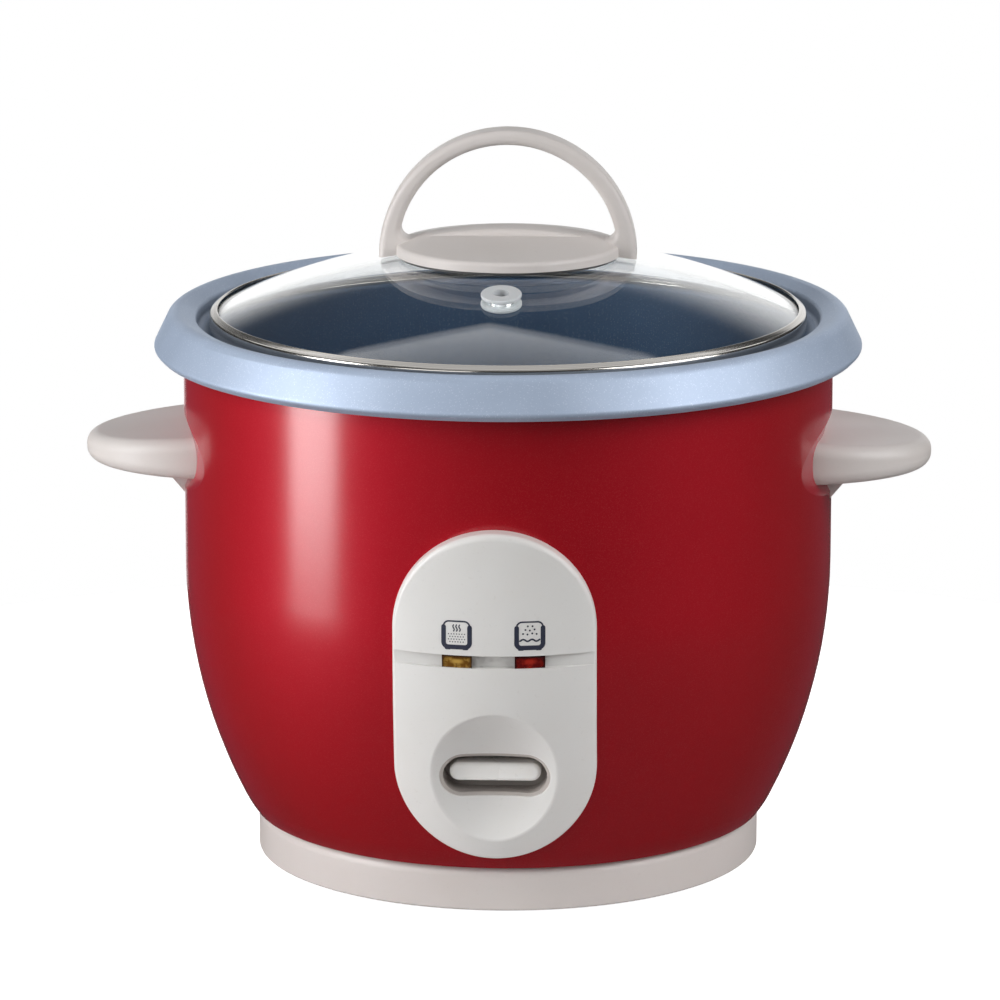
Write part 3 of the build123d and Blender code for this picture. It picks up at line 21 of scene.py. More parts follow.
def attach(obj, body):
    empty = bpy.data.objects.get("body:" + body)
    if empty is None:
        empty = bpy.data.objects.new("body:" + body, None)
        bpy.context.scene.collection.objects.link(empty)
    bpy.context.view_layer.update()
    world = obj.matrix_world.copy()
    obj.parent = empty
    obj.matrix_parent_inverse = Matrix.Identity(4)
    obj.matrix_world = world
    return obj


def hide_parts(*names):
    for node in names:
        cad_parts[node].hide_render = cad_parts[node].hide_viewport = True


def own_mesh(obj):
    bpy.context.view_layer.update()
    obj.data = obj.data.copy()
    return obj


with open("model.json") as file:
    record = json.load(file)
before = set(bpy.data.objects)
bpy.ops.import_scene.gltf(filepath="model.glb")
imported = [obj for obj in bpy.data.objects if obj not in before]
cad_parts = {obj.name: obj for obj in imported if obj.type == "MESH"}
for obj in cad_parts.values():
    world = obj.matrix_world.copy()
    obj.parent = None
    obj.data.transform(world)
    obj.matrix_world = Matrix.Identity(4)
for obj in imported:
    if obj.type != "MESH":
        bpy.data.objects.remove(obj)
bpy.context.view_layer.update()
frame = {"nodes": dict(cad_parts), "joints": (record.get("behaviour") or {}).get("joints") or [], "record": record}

LOG = logging.getLogger("rice_cooker")
MM = 0.001
WHITE = (1.0, 1.0, 1.0, 1.0)
UP = (0.0, 0.0, 1.0)
FULL_TURN = 2 * np.pi

Array = NDArray[np.float64]
Faces = list[list[int]]
Pair = tuple[float, float]
Colour = tuple[float, float, float, float]
Socket = bpy.types.NodeSocket
Value = Union[float, Socket]
Input = Union[Value, Sequence[float]]


class Body(str, Enum):
    """Rigid bodies of the frame that carry new pieces."""

    COOKER = "cooker_body"
    LID = "lid"


def linear(red: int, green: int, blue: int) -> Colour:
    """Turn an 8-bit screen colour into linear light by the sRGB curve.

    Args:
        red: Red channel, 0 to 255.
        green: Green channel, 0 to 255.
        blue: Blue channel, 0 to 255.

    Returns:
        Linear RGBA with full alpha.
    """
    share = np.array([red, green, blue]) / 255
    light = np.where(share <= 0.04045, share / 12.92, ((share + 0.055) / 1.055) ** 2.4)
    return *light.tolist(), 1.0


def toned(colour: Colour, factors: Sequence[float]) -> Colour:
    """Multiply each channel of a colour by its own factor.

    Args:
        colour: Linear RGBA.
        factors: Factors of red, green and blue.

    Returns:
        Linear RGBA with full alpha.
    """
    red, green, blue = (channel * factor for channel, factor in zip(colour, factors))
    return red, green, blue, 1.0


def metres(low: float, high: float) -> Pair:
    """Turn a range in millimetres into metres."""
    return low * MM, high * MM


@dataclass(frozen=True)
class Cooker:
    """Sizes that the fine pieces share with the frame, in millimetres."""

    body_r: float = 101.0
    belly_r: float = 165.7
    straight_z: float = 94.744
    panel_proud: float = 6.5
    panel_bow_r: float = 63.0
    groove_z: float = 86.7
    lens_pitch: float = 21.8
    lid_r: float = 92.8
    lid_z: float = 167.2
    dome_r: float = 219.833
    dome_centre_z: float = -27.883

    def wall_radius(self, z: Array) -> Array:
        """Give the body's outer radius: even above, and on a circle of the belly's radius below.

        Args:
            z: Heights.

        Returns:
            Radius at each height.
        """
        drop = np.maximum(self.straight_z - z, 0.0)
        return self.body_r - self.belly_r + np.sqrt(self.belly_r ** 2 - drop ** 2)

    def panel_front(self, x: Array, z: Array) -> Array:
        """Give the control panel's front: the wall moved out, bowed across by its own radius.

        Args:
            x: Places across the panel.
            z: Heights.

        Returns:
            The y of the surface at each place.
        """
        bow_y = self.panel_bow_r - self.body_r - self.panel_proud
        radius = self.wall_radius(z) + self.panel_proud + bow_y
        return bow_y - np.sqrt(radius ** 2 - x ** 2)

    def dome(self, radius: Array, rise: float = 0.0) -> Array:
        """Give the height of the lid glass, a cap of a sphere.

        Args:
            radius: Distances from the axis.
            rise: Height of the wanted surface above the glass.

        Returns:
            The z at each radius.
        """
        return self.dome_centre_z + np.sqrt((self.dome_r + rise) ** 2 - radius ** 2)


COOKER = Cooker()


class Nodes:
    """Short way to add and join shader nodes in one tree."""

    MIX_FACTOR, MIX_FIRST, MIX_SECOND, MIX_RESULT = 0, 6, 7, 2

    def __init__(self, tree: bpy.types.NodeTree) -> None:
        """Work in the given tree."""
        self.tree = tree

    def feed(self, node: bpy.types.Node, inputs: dict[Union[str, int], Input]) -> None:
        """Set or link a node's inputs.

        Args:
            node: The node.
            inputs: Socket name or number to a value or an output socket.
        """
        for key, value in inputs.items():
            if isinstance(value, bpy.types.NodeSocket):
                self.tree.links.new(value, node.inputs[key])
            else:
                node.inputs[key].default_value = value

    def add(self, kind: str, inputs: Optional[dict[Union[str, int], Input]] = None,
            **settings: object) -> bpy.types.Node:
        """Add a node, set its properties, and set or link its inputs.

        Args:
            kind: Blender's node type name.
            inputs: Socket name or number to a value or an output socket.
            **settings: Properties of the node itself.

        Returns:
            The new node.
        """
        node = self.tree.nodes.new(kind)
        for key, value in settings.items():
            setattr(node, key, value)
        self.feed(node, inputs or {})
        return node

    def math(self, operation: str, first: Value, second: Value = 0.0) -> Socket:
        """Add a math node.

        Args:
            operation: Blender's name of the operation.
            first: First value or socket.
            second: Second value or socket.

        Returns:
            The value socket.
        """
        return self.add("ShaderNodeMath", {0: first, 1: second}, operation=operation).outputs[0]

    def vector(self, operation: str, inputs: dict[Union[str, int], Input]) -> Socket:
        """Add a vector math node.

        Args:
            operation: Blender's name of the operation.
            inputs: Socket name or number to a value or an output socket.

        Returns:
            The vector socket.
        """
        return self.add("ShaderNodeVectorMath", inputs, operation=operation).outputs[0]

    def ramp(self, factor: Value, low: float, high: float,
             start: float = 0.0, stop: float = 1.0) -> Socket:
        """Map a value smoothly from one range to another.

        Args:
            factor: Value to map.
            low: Input that gives start.
            high: Input that gives stop.
            start: Output at low.
            stop: Output at high.

        Returns:
            The value socket.
        """
        ends = {"From Min": low, "From Max": high, "To Min": start, "To Max": stop}
        node = self.add("ShaderNodeMapRange", {"Value": factor, **ends},
                        interpolation_type="SMOOTHSTEP")
        return node.outputs["Result"]

    def mix(self, factor: Value, first: Input, second: Input, blend: str = "MIX") -> Socket:
        """Mix two colours.

        Args:
            factor: Share of the second colour.
            first: First colour or socket.
            second: Second colour or socket.
            blend: Blender's blend type.

        Returns:
            The colour socket.
        """
        inputs = {self.MIX_FACTOR: factor, self.MIX_FIRST: first, self.MIX_SECOND: second}
        node = self.add("ShaderNodeMix", data_type="RGBA", blend_type=blend)
        self.feed(node, inputs)
        return node.outputs[self.MIX_RESULT]

    def place(self) -> Socket:
        """Give the Object coordinates of the shaded point."""
        return self.add("ShaderNodeTexCoord").outputs["Object"]

    def axes(self, vector: Socket) -> Sequence[Socket]:
        """Split a vector into its x, y and z."""
        return self.add("ShaderNodeSeparateXYZ", {"Vector": vector}).outputs

    def channels(self, colour: Socket) -> Sequence[Socket]:
        """Split a colour into its red, green and blue."""
        return self.add("ShaderNodeSeparateColor", {"Color": colour}).outputs

    def radius(self, axes: Sequence[Socket]) -> Socket:
        """Give the distance from the z axis, the root of x squared plus y squared.

        Args:
            axes: The place's x, y and z.

        Returns:
            The value socket.
        """
        squares = [self.math("MULTIPLY", axes[i], axes[i]) for i in range(2)]
        return self.math("SQRT", self.math("ADD", *squares))

    def noise(self, place: Socket, scale: Value, detail: float, **more: float) -> Socket:
        """Add a noise texture.

        Args:
            place: Where the noise is read.
            scale: Scale of the noise.
            detail: Detail of the noise.
            **more: Other inputs of the texture.

        Returns:
            The value socket.
        """
        inputs = {"Vector": place, "Scale": scale, "Detail": detail, **more}
        return self.add("ShaderNodeTexNoise", inputs).outputs[0]

    def cells(self, place: Socket, scale: Value) -> Sequence[Socket]:
        """Add a texture of cells and give its outputs."""
        return self.add("ShaderNodeTexVoronoi", {"Vector": place, "Scale": scale}).outputs

    def group(self, tree: bpy.types.NodeTree, **values: float) -> Sequence[Socket]:
        """Add a node group.

        Args:
            tree: The group to add.
            **values: Values of its inputs.

        Returns:
            The group's outputs.
        """
        node = self.add("ShaderNodeGroup", node_tree=tree)
        self.feed(node, values)
        return node.outputs

    def bump(self, height: Socket, depth_mm: float) -> Socket:
        """Turn a height into a normal.

        Args:
            height: Height from 0 to 1.
            depth_mm: Depth in millimetres that height 1 stands for.

        Returns:
            The normal socket.
        """
        inputs = {"Height": height, "Distance": depth_mm * MM, "Strength": 1.0}
        return self.add("ShaderNodeBump", inputs).outputs[0]


class Effects:
    """Shader node groups shared by the finishes, each made once."""

    VALUE = "NodeSocketFloat"
    VECTOR = "NodeSocketVector"
    FLAKE_MIDDLE = (0.5, 0.5, 0.5)
    FLAKE_GLINT_POWER = 6.0
    GRAIN_HEIGHT, SWELL_HEIGHT = 0.75, 0.25
    GRAIN_RANGE = (0.35, 0.7)
    CLOUD_RANGE = (0.3, 0.7)
    FLECK_SCALE = 0.8
    FLECK_CHOICE = (0.62, 0.95)
    FLECK_EDGE = (0.55, 0.1)
    STREAK_RANGE = (0.35, 0.65)
    SMEAR_RANGE = (0.35, 0.7)
    DUST_RANGE = (0.66, 0.78)

    @staticmethod
    def _start(name: str, inputs: dict[str, float],
               outputs: dict[str, str]) -> tuple[Nodes, Sequence[Socket], bpy.types.Node]:
        """Make a node group with its inputs and outputs.

        Args:
            name: Group name.
            inputs: Value inputs and their defaults.
            outputs: Output names and socket types.

        Returns:
            The group's node helper, the sockets of its inputs, and its output node.
        """
        tree = bpy.data.node_groups.new(name, "ShaderNodeTree")
        for key, value in inputs.items():
            socket = tree.interface.new_socket(key, in_out="INPUT", socket_type=Effects.VALUE)
            socket.default_value = value
        for key, kind in outputs.items():
            tree.interface.new_socket(key, in_out="OUTPUT", socket_type=kind)
        n = Nodes(tree)
        return n, n.add("NodeGroupInput").outputs, n.add("NodeGroupOutput")

    @staticmethod
    @cache
    def flakes() -> bpy.types.NodeTree:
        """Metal flakes: small cells that each tilt the surface their own way.

        Returns:
            The node group, with the tilted normal and a mask of the bright flakes.
        """
        n, given, out = Effects._start("metal_flakes", {"Scale": 2600.0, "Tilt": 0.12},
                                       {"Normal": Effects.VECTOR, "Glint": Effects.VALUE})
        lean = n.cells(n.place(), given["Scale"])["Color"]
        centred = n.vector("SUBTRACT", {0: lean, 1: Effects.FLAKE_MIDDLE})
        tilt = n.vector("SCALE", {0: centred, "Scale": given["Tilt"]})
        normal = n.add("ShaderNodeNewGeometry").outputs["Normal"]
        turned = n.vector("ADD", {0: normal, 1: tilt})
        n.feed(out, {
            "Normal": n.vector("NORMALIZE", {0: turned}),
            "Glint": n.math("POWER", n.channels(lean)[0], Effects.FLAKE_GLINT_POWER),
        })
        return n.tree

    @staticmethod
    @cache
    def moulding() -> bpy.types.NodeTree:
        """Spark-eroded mould texture with slow waviness.

        Returns:
            The node group, with the height and masks of the waviness and of the grain.
        """
        n, given, out = Effects._start("mould_texture", {"Grain": 1400.0},
                                       dict.fromkeys(("Height", "Cloud", "Grain"), Effects.VALUE))
        place = n.place()
        grain = n.noise(place, given["Grain"], detail=3.0, Roughness=0.6)
        swell = n.noise(place, scale=55.0, detail=2.0)
        n.feed(out, {
            "Height": n.math("ADD", n.math("MULTIPLY", grain, Effects.GRAIN_HEIGHT),
                             n.math("MULTIPLY", swell, Effects.SWELL_HEIGHT)),
            "Cloud": n.ramp(swell, *Effects.CLOUD_RANGE),
            "Grain": n.ramp(grain, *Effects.GRAIN_RANGE),
        })
        return n.tree

    @staticmethod
    @cache
    def speckle() -> bpy.types.NodeTree:
        """Fine light flecks of a sprayed non-stick coating.

        Returns:
            The node group, with masks of the flecks and of slow clouds, and the height.
        """
        n, given, out = Effects._start("coating_speckle", {"Scale": 1500.0},
                                       dict.fromkeys(("Flecks", "Height", "Cloud"), Effects.VALUE))
        place = n.place()
        cells = n.cells(place, n.math("MULTIPLY", given["Scale"], Effects.FLECK_SCALE))
        chosen = n.ramp(n.channels(cells["Color"])[1], *Effects.FLECK_CHOICE)
        n.feed(out, {
            "Flecks": n.math("MULTIPLY", chosen, n.ramp(cells["Distance"], *Effects.FLECK_EDGE)),
            "Height": n.noise(place, given["Scale"], detail=2.0, Roughness=0.7),
            "Cloud": n.ramp(n.noise(place, scale=40.0, detail=3.0), *Effects.CLOUD_RANGE),
        })
        return n.tree

    @staticmethod
    @cache
    def turned() -> bpy.types.NodeTree:
        """Lathe rings about the cooker's axis, with uneven spacing.

        Returns:
            The node group, with the height and a mask of the bright rings.
        """
        n, given, out = Effects._start("turned_rings", {"Rings": 1800.0},
                                       dict.fromkeys(("Height", "Streak"), Effects.VALUE))
        axes = n.axes(n.place())
        line = n.add("ShaderNodeCombineXYZ", {
            0: n.math("MULTIPLY", n.radius(axes), given["Rings"]),
            1: n.math("MULTIPLY", axes[2], given["Rings"]),
        }).outputs[0]
        rings = n.noise(line, scale=1.0, detail=3.0, Roughness=0.65)
        n.feed(out, {"Height": rings, "Streak": n.ramp(rings, *Effects.STREAK_RANGE)})
        return n.tree

    @staticmethod
    @cache
    def handling() -> bpy.types.NodeTree:
        """Slow smears and fine dust that change the gloss a little.

        Returns:
            The node group, with masks of the smears and of the dust.
        """
        n, _, out = Effects._start("handling_marks", {},
                                   dict.fromkeys(("Smear", "Dust"), Effects.VALUE))
        place = n.place()
        smear = n.noise(place, scale=18.0, detail=4.0, Distortion=0.6)
        dust = n.noise(place, scale=900.0, detail=1.0)
        n.feed(out, {
            "Smear": n.ramp(smear, *Effects.SMEAR_RANGE),
            "Dust": n.ramp(dust, *Effects.DUST_RANGE),
        })
        return n.tree


@dataclass(frozen=True)
class Finish:
    """Base of the finishes: a named material with one Principled shader."""

    name: str

    def shade(self, n: Nodes, shader: bpy.types.Node) -> None:
        """Set up the shader's sockets and textures.

        Args:
            n: Node helper of the material's tree.
            shader: The Principled shader.
        """
        raise NotImplementedError

    def surface(self, n: Nodes, shader: bpy.types.Node) -> Socket:
        """Give what goes to the material's output: the Principled shader alone."""
        return shader.outputs[0]

    def build(self) -> bpy.types.Material:
        """Make the material.

        Returns:
            The finished material.
        """
        material = bpy.data.materials.new(self.name)
        material.use_nodes = True
        material.node_tree.nodes.clear()
        n = Nodes(material.node_tree)
        shader = n.add("ShaderNodeBsdfPrincipled")
        self.shade(n, shader)
        n.add("ShaderNodeOutputMaterial", {"Surface": self.surface(n, shader)})
        return material


@dataclass(frozen=True)
class Lacquer(Finish):
    """Metallic lacquer: tinted flakes under a clear coat."""

    face: Colour
    glance: Colour
    glint: Colour
    sheen: Colour
    flake_scale: float = 5200.0
    flake_tilt: float = 0.09
    flake_share: float = 0.10
    glance_from: float = 0.55
    metallic: float = 0.5
    specular: float = 0.7
    rough: Pair = (0.56, 0.60)
    coat_rough: float = 0.2
    coat_ior: float = 1.62

    def shade(self, n: Nodes, shader: bpy.types.Node) -> None:
        """Tint the flakes by the angle of view and lay a clear coat over them.

        Args:
            n: Node helper of the material's tree.
            shader: The Principled shader.
        """
        flakes = n.group(Effects.flakes(), Scale=self.flake_scale, Tilt=self.flake_tilt)
        marks = n.group(Effects.handling())
        facing = n.add("ShaderNodeLayerWeight", {"Blend": 0.5}).outputs["Facing"]
        colour = n.mix(n.ramp(facing, self.glance_from, 1.0), self.face, self.glance)
        colour = n.mix(n.math("MULTIPLY", flakes["Glint"], self.flake_share), colour, self.glint)
        n.feed(shader, {
            "Base Color": colour,
            "Metallic": self.metallic,
            "Roughness": n.ramp(marks["Smear"], 0.0, 1.0, *self.rough),
            "Specular IOR Level": self.specular,
            "Specular Tint": self.sheen,
            "Coat Weight": 1.0,
            "Coat Roughness": self.coat_rough,
            "Coat IOR": self.coat_ior,
            "Normal": flakes["Normal"],
        })


@dataclass(frozen=True)
class Moulded(Finish):
    """Injection-moulded plastic with a fine mould texture."""

    colour: Colour
    rough: float
    grain_mm: float
    grain: float
    glow: float = 0.0

    FLOW_TONE = (0.975, 0.965, 0.95)
    FLOW_SHARE = 0.5
    DUST = linear(180, 174, 168)
    DUST_SHARE = 0.10
    POLISH, SMEAR = 0.04, 0.05
    GLOW_DEPTH = (0.002, 0.0018, 0.0016)

    def shade(self, n: Nodes, shader: bpy.types.Node) -> None:
        """Cloud the colour a little, add dust and press in the mould's grain.

        Args:
            n: Node helper of the material's tree.
            shader: The Principled shader.
        """
        mould = n.group(Effects.moulding(), Grain=self.grain)
        marks = n.group(Effects.handling())
        flow = toned(self.colour, self.FLOW_TONE)
        colour = n.mix(n.math("MULTIPLY", mould["Cloud"], self.FLOW_SHARE), self.colour, flow)
        colour = n.mix(n.math("MULTIPLY", marks["Dust"], self.DUST_SHARE), colour, self.DUST)
        n.feed(shader, {
            "Base Color": colour,
            "Roughness": n.ramp(marks["Smear"], 0.0, 1.0,
                                self.rough - self.POLISH, self.rough + self.SMEAR),
            "Subsurface Weight": self.glow,
            "Subsurface Radius": self.GLOW_DEPTH,
            "Normal": n.bump(mould["Height"], self.grain_mm),
        })


@dataclass(frozen=True)
class Coating(Finish):
    """Speckled non-stick coating, pearly on the rim, with painted shade that makes it darker inside the pot."""

    rim: Colour
    # painted shade: the darker colour inside the pot stands in for the shade under the lid
    inside: Colour
    edge_radius: float
    edge_blur: float = 1.5
    speckle: float = 2900.0
    metallic: float = 0.42
    rough: Pair = (0.52, 0.36)
    relief_mm: float = 0.02

    FLECK = linear(226, 234, 246)
    # fewer light flecks inside, part of the painted shade there
    INSIDE_FLECKS, RIM_FLECKS = 0.12, 0.42
    CLOUD = linear(120, 134, 156)
    CLOUD_SHARE = 0.10

    def shade(self, n: Nodes, shader: bpy.types.Node) -> None:
        """Part the rim from the inside by radius, with painted shade inside, and spray the flecks over both.

        Args:
            n: Node helper of the material's tree.
            shader: The Principled shader.
        """
        spray = n.group(Effects.speckle(), Scale=self.speckle)
        edge = metres(self.edge_radius - self.edge_blur, self.edge_radius + self.edge_blur)
        outer = n.ramp(n.radius(n.axes(n.place())), *edge)
        amount = n.math("ADD", n.math("MULTIPLY", outer, self.RIM_FLECKS), self.INSIDE_FLECKS)
        # painted shade: the inside gets the darker colour
        colour = n.mix(outer, self.inside, self.rim)
        colour = n.mix(n.math("MULTIPLY", spray["Flecks"], amount), colour, self.FLECK)
        clouded = n.math("MULTIPLY", spray["Cloud"], self.CLOUD_SHARE)
        n.feed(shader, {
            "Base Color": n.mix(clouded, colour, self.CLOUD, "MULTIPLY"),
            "Metallic": self.metallic,
            "Roughness": n.ramp(spray["Flecks"], 0.0, 1.0, *self.rough),
            "Normal": n.bump(spray["Height"], self.relief_mm),
        })


@dataclass(frozen=True)
class Metal(Finish):
    """Bare or plated metal with drawing or turning lines."""

    colour: Colour
    rough: float
    rings: float
    relief_mm: float

    STREAK_TONE = (0.82, 0.82, 0.82)
    SMEAR = 0.06

    def shade(self, n: Nodes, shader: bpy.types.Node) -> None:
        """Darken and cut the rings, and smear the gloss.

        Args:
            n: Node helper of the material's tree.
            shader: The Principled shader.
        """
        lines = n.group(Effects.turned(), Rings=self.rings)
        marks = n.group(Effects.handling())
        n.feed(shader, {
            "Base Color": n.mix(lines["Streak"], toned(self.colour, self.STREAK_TONE), self.colour),
            "Metallic": 1.0,
            "Roughness": n.ramp(marks["Smear"], 0.0, 1.0,
                                self.rough - self.SMEAR, self.rough + self.SMEAR),
            "Normal": n.bump(lines["Height"], self.relief_mm),
        })


@dataclass(frozen=True)
class Glass(Finish):
    """Clear glass that lets lamp light through to what is behind it."""

    tint: Colour
    rough: float = 0.0
    ior: float = 1.5

    DUST_ROUGH = 0.03
    SHADOW = (0.93, 0.95, 0.95, 1.0)

    def shade(self, n: Nodes, shader: bpy.types.Node) -> None:
        """Make the shader clear, and a little rough where dust lies.

        Args:
            n: Node helper of the material's tree.
            shader: The Principled shader.
        """
        marks = n.group(Effects.handling())
        n.feed(shader, {
            "Base Color": self.tint,
            "Transmission Weight": 1.0,
            "IOR": self.ior,
            "Roughness": n.ramp(marks["Dust"], 0.0, 1.0, self.rough, self.rough + self.DUST_ROUGH),
        })

    def surface(self, n: Nodes, shader: bpy.types.Node) -> Socket:
        """Give what goes to the material's output: a pale film for shadow rays, glass for others.

        Args:
            n: Node helper of the material's tree.
            shader: The Principled shader.

        Returns:
            The shader socket.
        """
        film = n.add("ShaderNodeBsdfTransparent", {"Color": self.SHADOW})
        shadow = n.add("ShaderNodeLightPath").outputs["Is Shadow Ray"]
        inputs = {0: shadow, 1: shader.outputs[0], 2: film.outputs[0]}
        return n.add("ShaderNodeMixShader", inputs).outputs[0]


@dataclass(frozen=True)
class Tinted(Finish):
    """Clear tinted lens plastic with painted light: a painted highlight in the core, darker ends and a painted
    shadow along the top.
    """

    colour: Colour
    # painted highlight: the glow colour of the lamp behind the lens, though no lamp lights it
    glow: Colour
    # darker colour of the lens's ends, also used as the painted shadow of the groove's lip on the top
    dark_end_and_lip_shadow: Colour
    middle: float
    grain: float = 420.0
    clear: float = 0.3
    ior: float = 1.49
    rough: Pair = (0.06, 0.14)

    GRAIN_RANGE = (0.1, 0.9)
    # share of the painted glints mottled in by the grain
    GLINT_SHARE = 0.55
    # size across and up of the painted highlight in the core, and its share
    HIGHLIGHT_ACROSS = metres(2.6, 0.6)
    HIGHLIGHT_HIGH = metres(1.0, 0.2)
    HIGHLIGHT_SHARE = 0.75
    END = metres(3.0, 4.5)
    # height range of the painted shadow under the groove's lip
    LIP_SHADOW = metres(0.5, 1.6)

    def shade(self, n: Nodes, shader: bpy.types.Node) -> None:
        """Colour the lens by the distance from its middle: a painted highlight at the core, painted glints, darker
        ends and a painted shadow along the top.

        Args:
            n: Node helper of the material's tree.
            shader: The Principled shader.
        """
        grain = n.group(Effects.moulding(), Grain=self.grain)["Grain"]
        axes = n.axes(n.place())
        across = n.math("ABSOLUTE", n.math("SUBTRACT", axes[0], self.middle * MM))
        high = n.math("SUBTRACT", axes[2], COOKER.groove_z * MM)
        # painted highlight in the lens's core
        painted_highlight = n.math("MULTIPLY", n.ramp(across, *self.HIGHLIGHT_ACROSS),
                      n.ramp(n.math("ABSOLUTE", high), *self.HIGHLIGHT_HIGH))
        # painted glints, mottled by the grain
        painted_glints = n.ramp(grain, *self.GRAIN_RANGE, 0.0, self.GLINT_SHARE)
        colour = n.mix(painted_glints, self.colour, self.glow)
        colour = n.mix(n.math("MULTIPLY", painted_highlight, self.HIGHLIGHT_SHARE), colour, self.glow)
        colour = n.mix(n.ramp(across, *self.END), colour, self.dark_end_and_lip_shadow)
        n.feed(shader, {
            # painted shadow of the groove's lip, darker towards the top
            "Base Color": n.mix(n.ramp(high, *self.LIP_SHADOW), colour, self.dark_end_and_lip_shadow),
            "Transmission Weight": self.clear,
            "IOR": self.ior,
            "Roughness": n.ramp(grain, 0.0, 1.0, *self.rough),
        })


class Palette:
    """All finishes, made once and given to the frame's nodes."""

    RED = Lacquer("red_lacquer", face=linear(171, 2, 5), glance=linear(196, 2, 44),
                  glint=linear(246, 120, 112), sheen=linear(255, 92, 188))
    GREY = Moulded("warm_grey_plastic", linear(209, 203, 200),
                   rough=0.42, grain_mm=0.02, grain=1500.0, glow=0.08)
    PANEL = Moulded("panel_plastic", linear(222, 221, 219),
                    rough=0.34, grain_mm=0.01, grain=1900.0, glow=0.08)
    KEY = Moulded("key_plastic", linear(244, 243, 240),
                  rough=0.3, grain_mm=0.01, grain=1900.0, glow=0.08)
    DARK = Moulded("dark_plastic", linear(186, 179, 174), rough=0.5, grain_mm=0.02, grain=1500.0)
    BLACK = Moulded("gland_plastic", linear(44, 43, 43), rough=0.5, grain_mm=0.03, grain=1300.0)
    RUBBER = Moulded("soft_rubber", linear(70, 69, 69), rough=0.62, grain_mm=0.04, grain=900.0)
    PHENOLIC = Moulded("brown_phenolic", linear(92, 62, 46), rough=0.5, grain_mm=0.03, grain=1100.0)
    CERAMIC = Moulded("fuse_ceramic", linear(226, 220, 208), rough=0.3, grain_mm=0.01, grain=1500.0)
    FERRITE = Moulded("ferrite", linear(58, 58, 60), rough=0.55, grain_mm=0.04, grain=1200.0)
    CLOTH = Moulded("glass_cloth", linear(214, 204, 184), rough=0.75, grain_mm=0.12, grain=700.0)
    EYELET = Moulded("vent_silicone", linear(208, 211, 214),
                     rough=0.32, grain_mm=0.01, grain=1800.0, glow=0.2)
    PRINT = Moulded("printed_ink", linear(43, 47, 66), rough=0.5, grain_mm=0.008, grain=2200.0)
    # the pot's inside colour is painted shade under the lid
    POT = Coating("pot_coating", rim=linear(176, 191, 213), inside=linear(58, 87, 119),
                  edge_radius=94.0)
    STAINLESS = Metal("stainless", linear(196, 193, 188), rough=0.2, rings=2400.0, relief_mm=0.006)
    STEEL = Metal("plated_steel", linear(178, 178, 174), rough=0.32, rings=1500.0, relief_mm=0.01)
    ALUMINIUM = Metal("cast_aluminium", linear(196, 197, 198),
                      rough=0.34, rings=1100.0, relief_mm=0.03)
    BRASS = Metal("brass", linear(204, 168, 98), rough=0.3, rings=1500.0, relief_mm=0.01)
    GLASS = Glass("lid_glass", tint=(0.97, 0.985, 0.985, 1.0))
    BULB = Glass("lamp_glass", tint=(0.98, 0.95, 0.9, 1.0), rough=0.05)
    # lens colours: glow is a painted highlight; the last colour darkens the ends and paints the lip's shadow
    AMBER = Tinted("amber_lens", linear(122, 80, 24), glow=linear(230, 186, 92),
                   dark_end_and_lip_shadow=linear(76, 46, 20), middle=-COOKER.lens_pitch / 2)
    CHERRY = Tinted("red_lens", linear(108, 12, 9), glow=linear(200, 50, 32),
                    dark_end_and_lip_shadow=linear(54, 7, 7), middle=COOKER.lens_pitch / 2)

    SLOTS = {
        "red_lacquer": RED, "warm_grey_plastic": GREY, "panel_plastic": PANEL,
        "dark_plastic": DARK, "amber_lens": AMBER, "red_lens": CHERRY, "lamp_glass": BULB,
        "pot_coating": POT, "lid_glass": GLASS, "stainless": STAINLESS, "plated_steel": STEEL,
        "spring_steel": STEEL, "cast_aluminium": ALUMINIUM, "ferrite": FERRITE,
        "phenolic": PHENOLIC, "brass": BRASS, "rubber": RUBBER, "fuse_ceramic": CERAMIC,
        "glass_cloth": CLOTH,
    }
    NODES = {"cord_gland": BLACK, "vent_eyelet": EYELET, "switch_key": KEY}

    def __init__(self) -> None:
        """Start with no material made."""
        self._made: dict[str, bpy.types.Material] = {}

    def get(self, finish: Finish) -> bpy.types.Material:
        """Give the material of a finish.

        Args:
            finish: One of the palette's finishes.

        Returns:
            The material, made on first use.
        """
        if finish.name not in self._made:
            self._made[finish.name] = finish.build()
        return self._made[finish.name]

    def dress(self) -> dict[str, str]:
        """Give every node of the frame the finish of its slot.

        Returns:
            Names of the nodes and of their finishes.
        """
        worn = {}
        for part in frame["record"]["subparts"]:
            node = frame["nodes"][part["node"]]
            finish = self.NODES.get(part["node"], self.SLOTS[part["material_slot"]])
            for index in range(len(node.material_slots)):
                node.material_slots[index].material = self.get(finish)
            worn[part["node"]] = finish.name
        return worn


@dataclass(frozen=True)
class Piece:
    """One new mesh that rides on a body of the frame."""

    name: str
    body: Body
    material: bpy.types.Material
    slot: str

    def place(self, points: Array, faces: Faces, smooth: bool = True) -> bpy.types.Object:
        """Make the mesh object.

        Args:
            points: Corners in millimetres, one row each.
            faces: Corner numbers of each face.
            smooth: Shade the faces smoothly.

        Returns:
            The object, riding on its body.
        """
        mesh = bpy.data.meshes.new(self.name)
        mesh.from_pydata((points * MM).tolist(), [], faces)
        mesh.polygons.foreach_set("use_smooth", np.full(len(mesh.polygons), smooth))
        shell = bmesh.new()
        shell.from_mesh(mesh)
        bmesh.ops.recalc_face_normals(shell, faces=shell.faces)
        shell.to_mesh(mesh)
        shell.free()
        mesh.materials.append(self.material)
        piece = bpy.data.objects.new(self.name, mesh)
        bpy.context.scene.collection.objects.link(piece)
        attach(piece, self.body.value)
        return piece


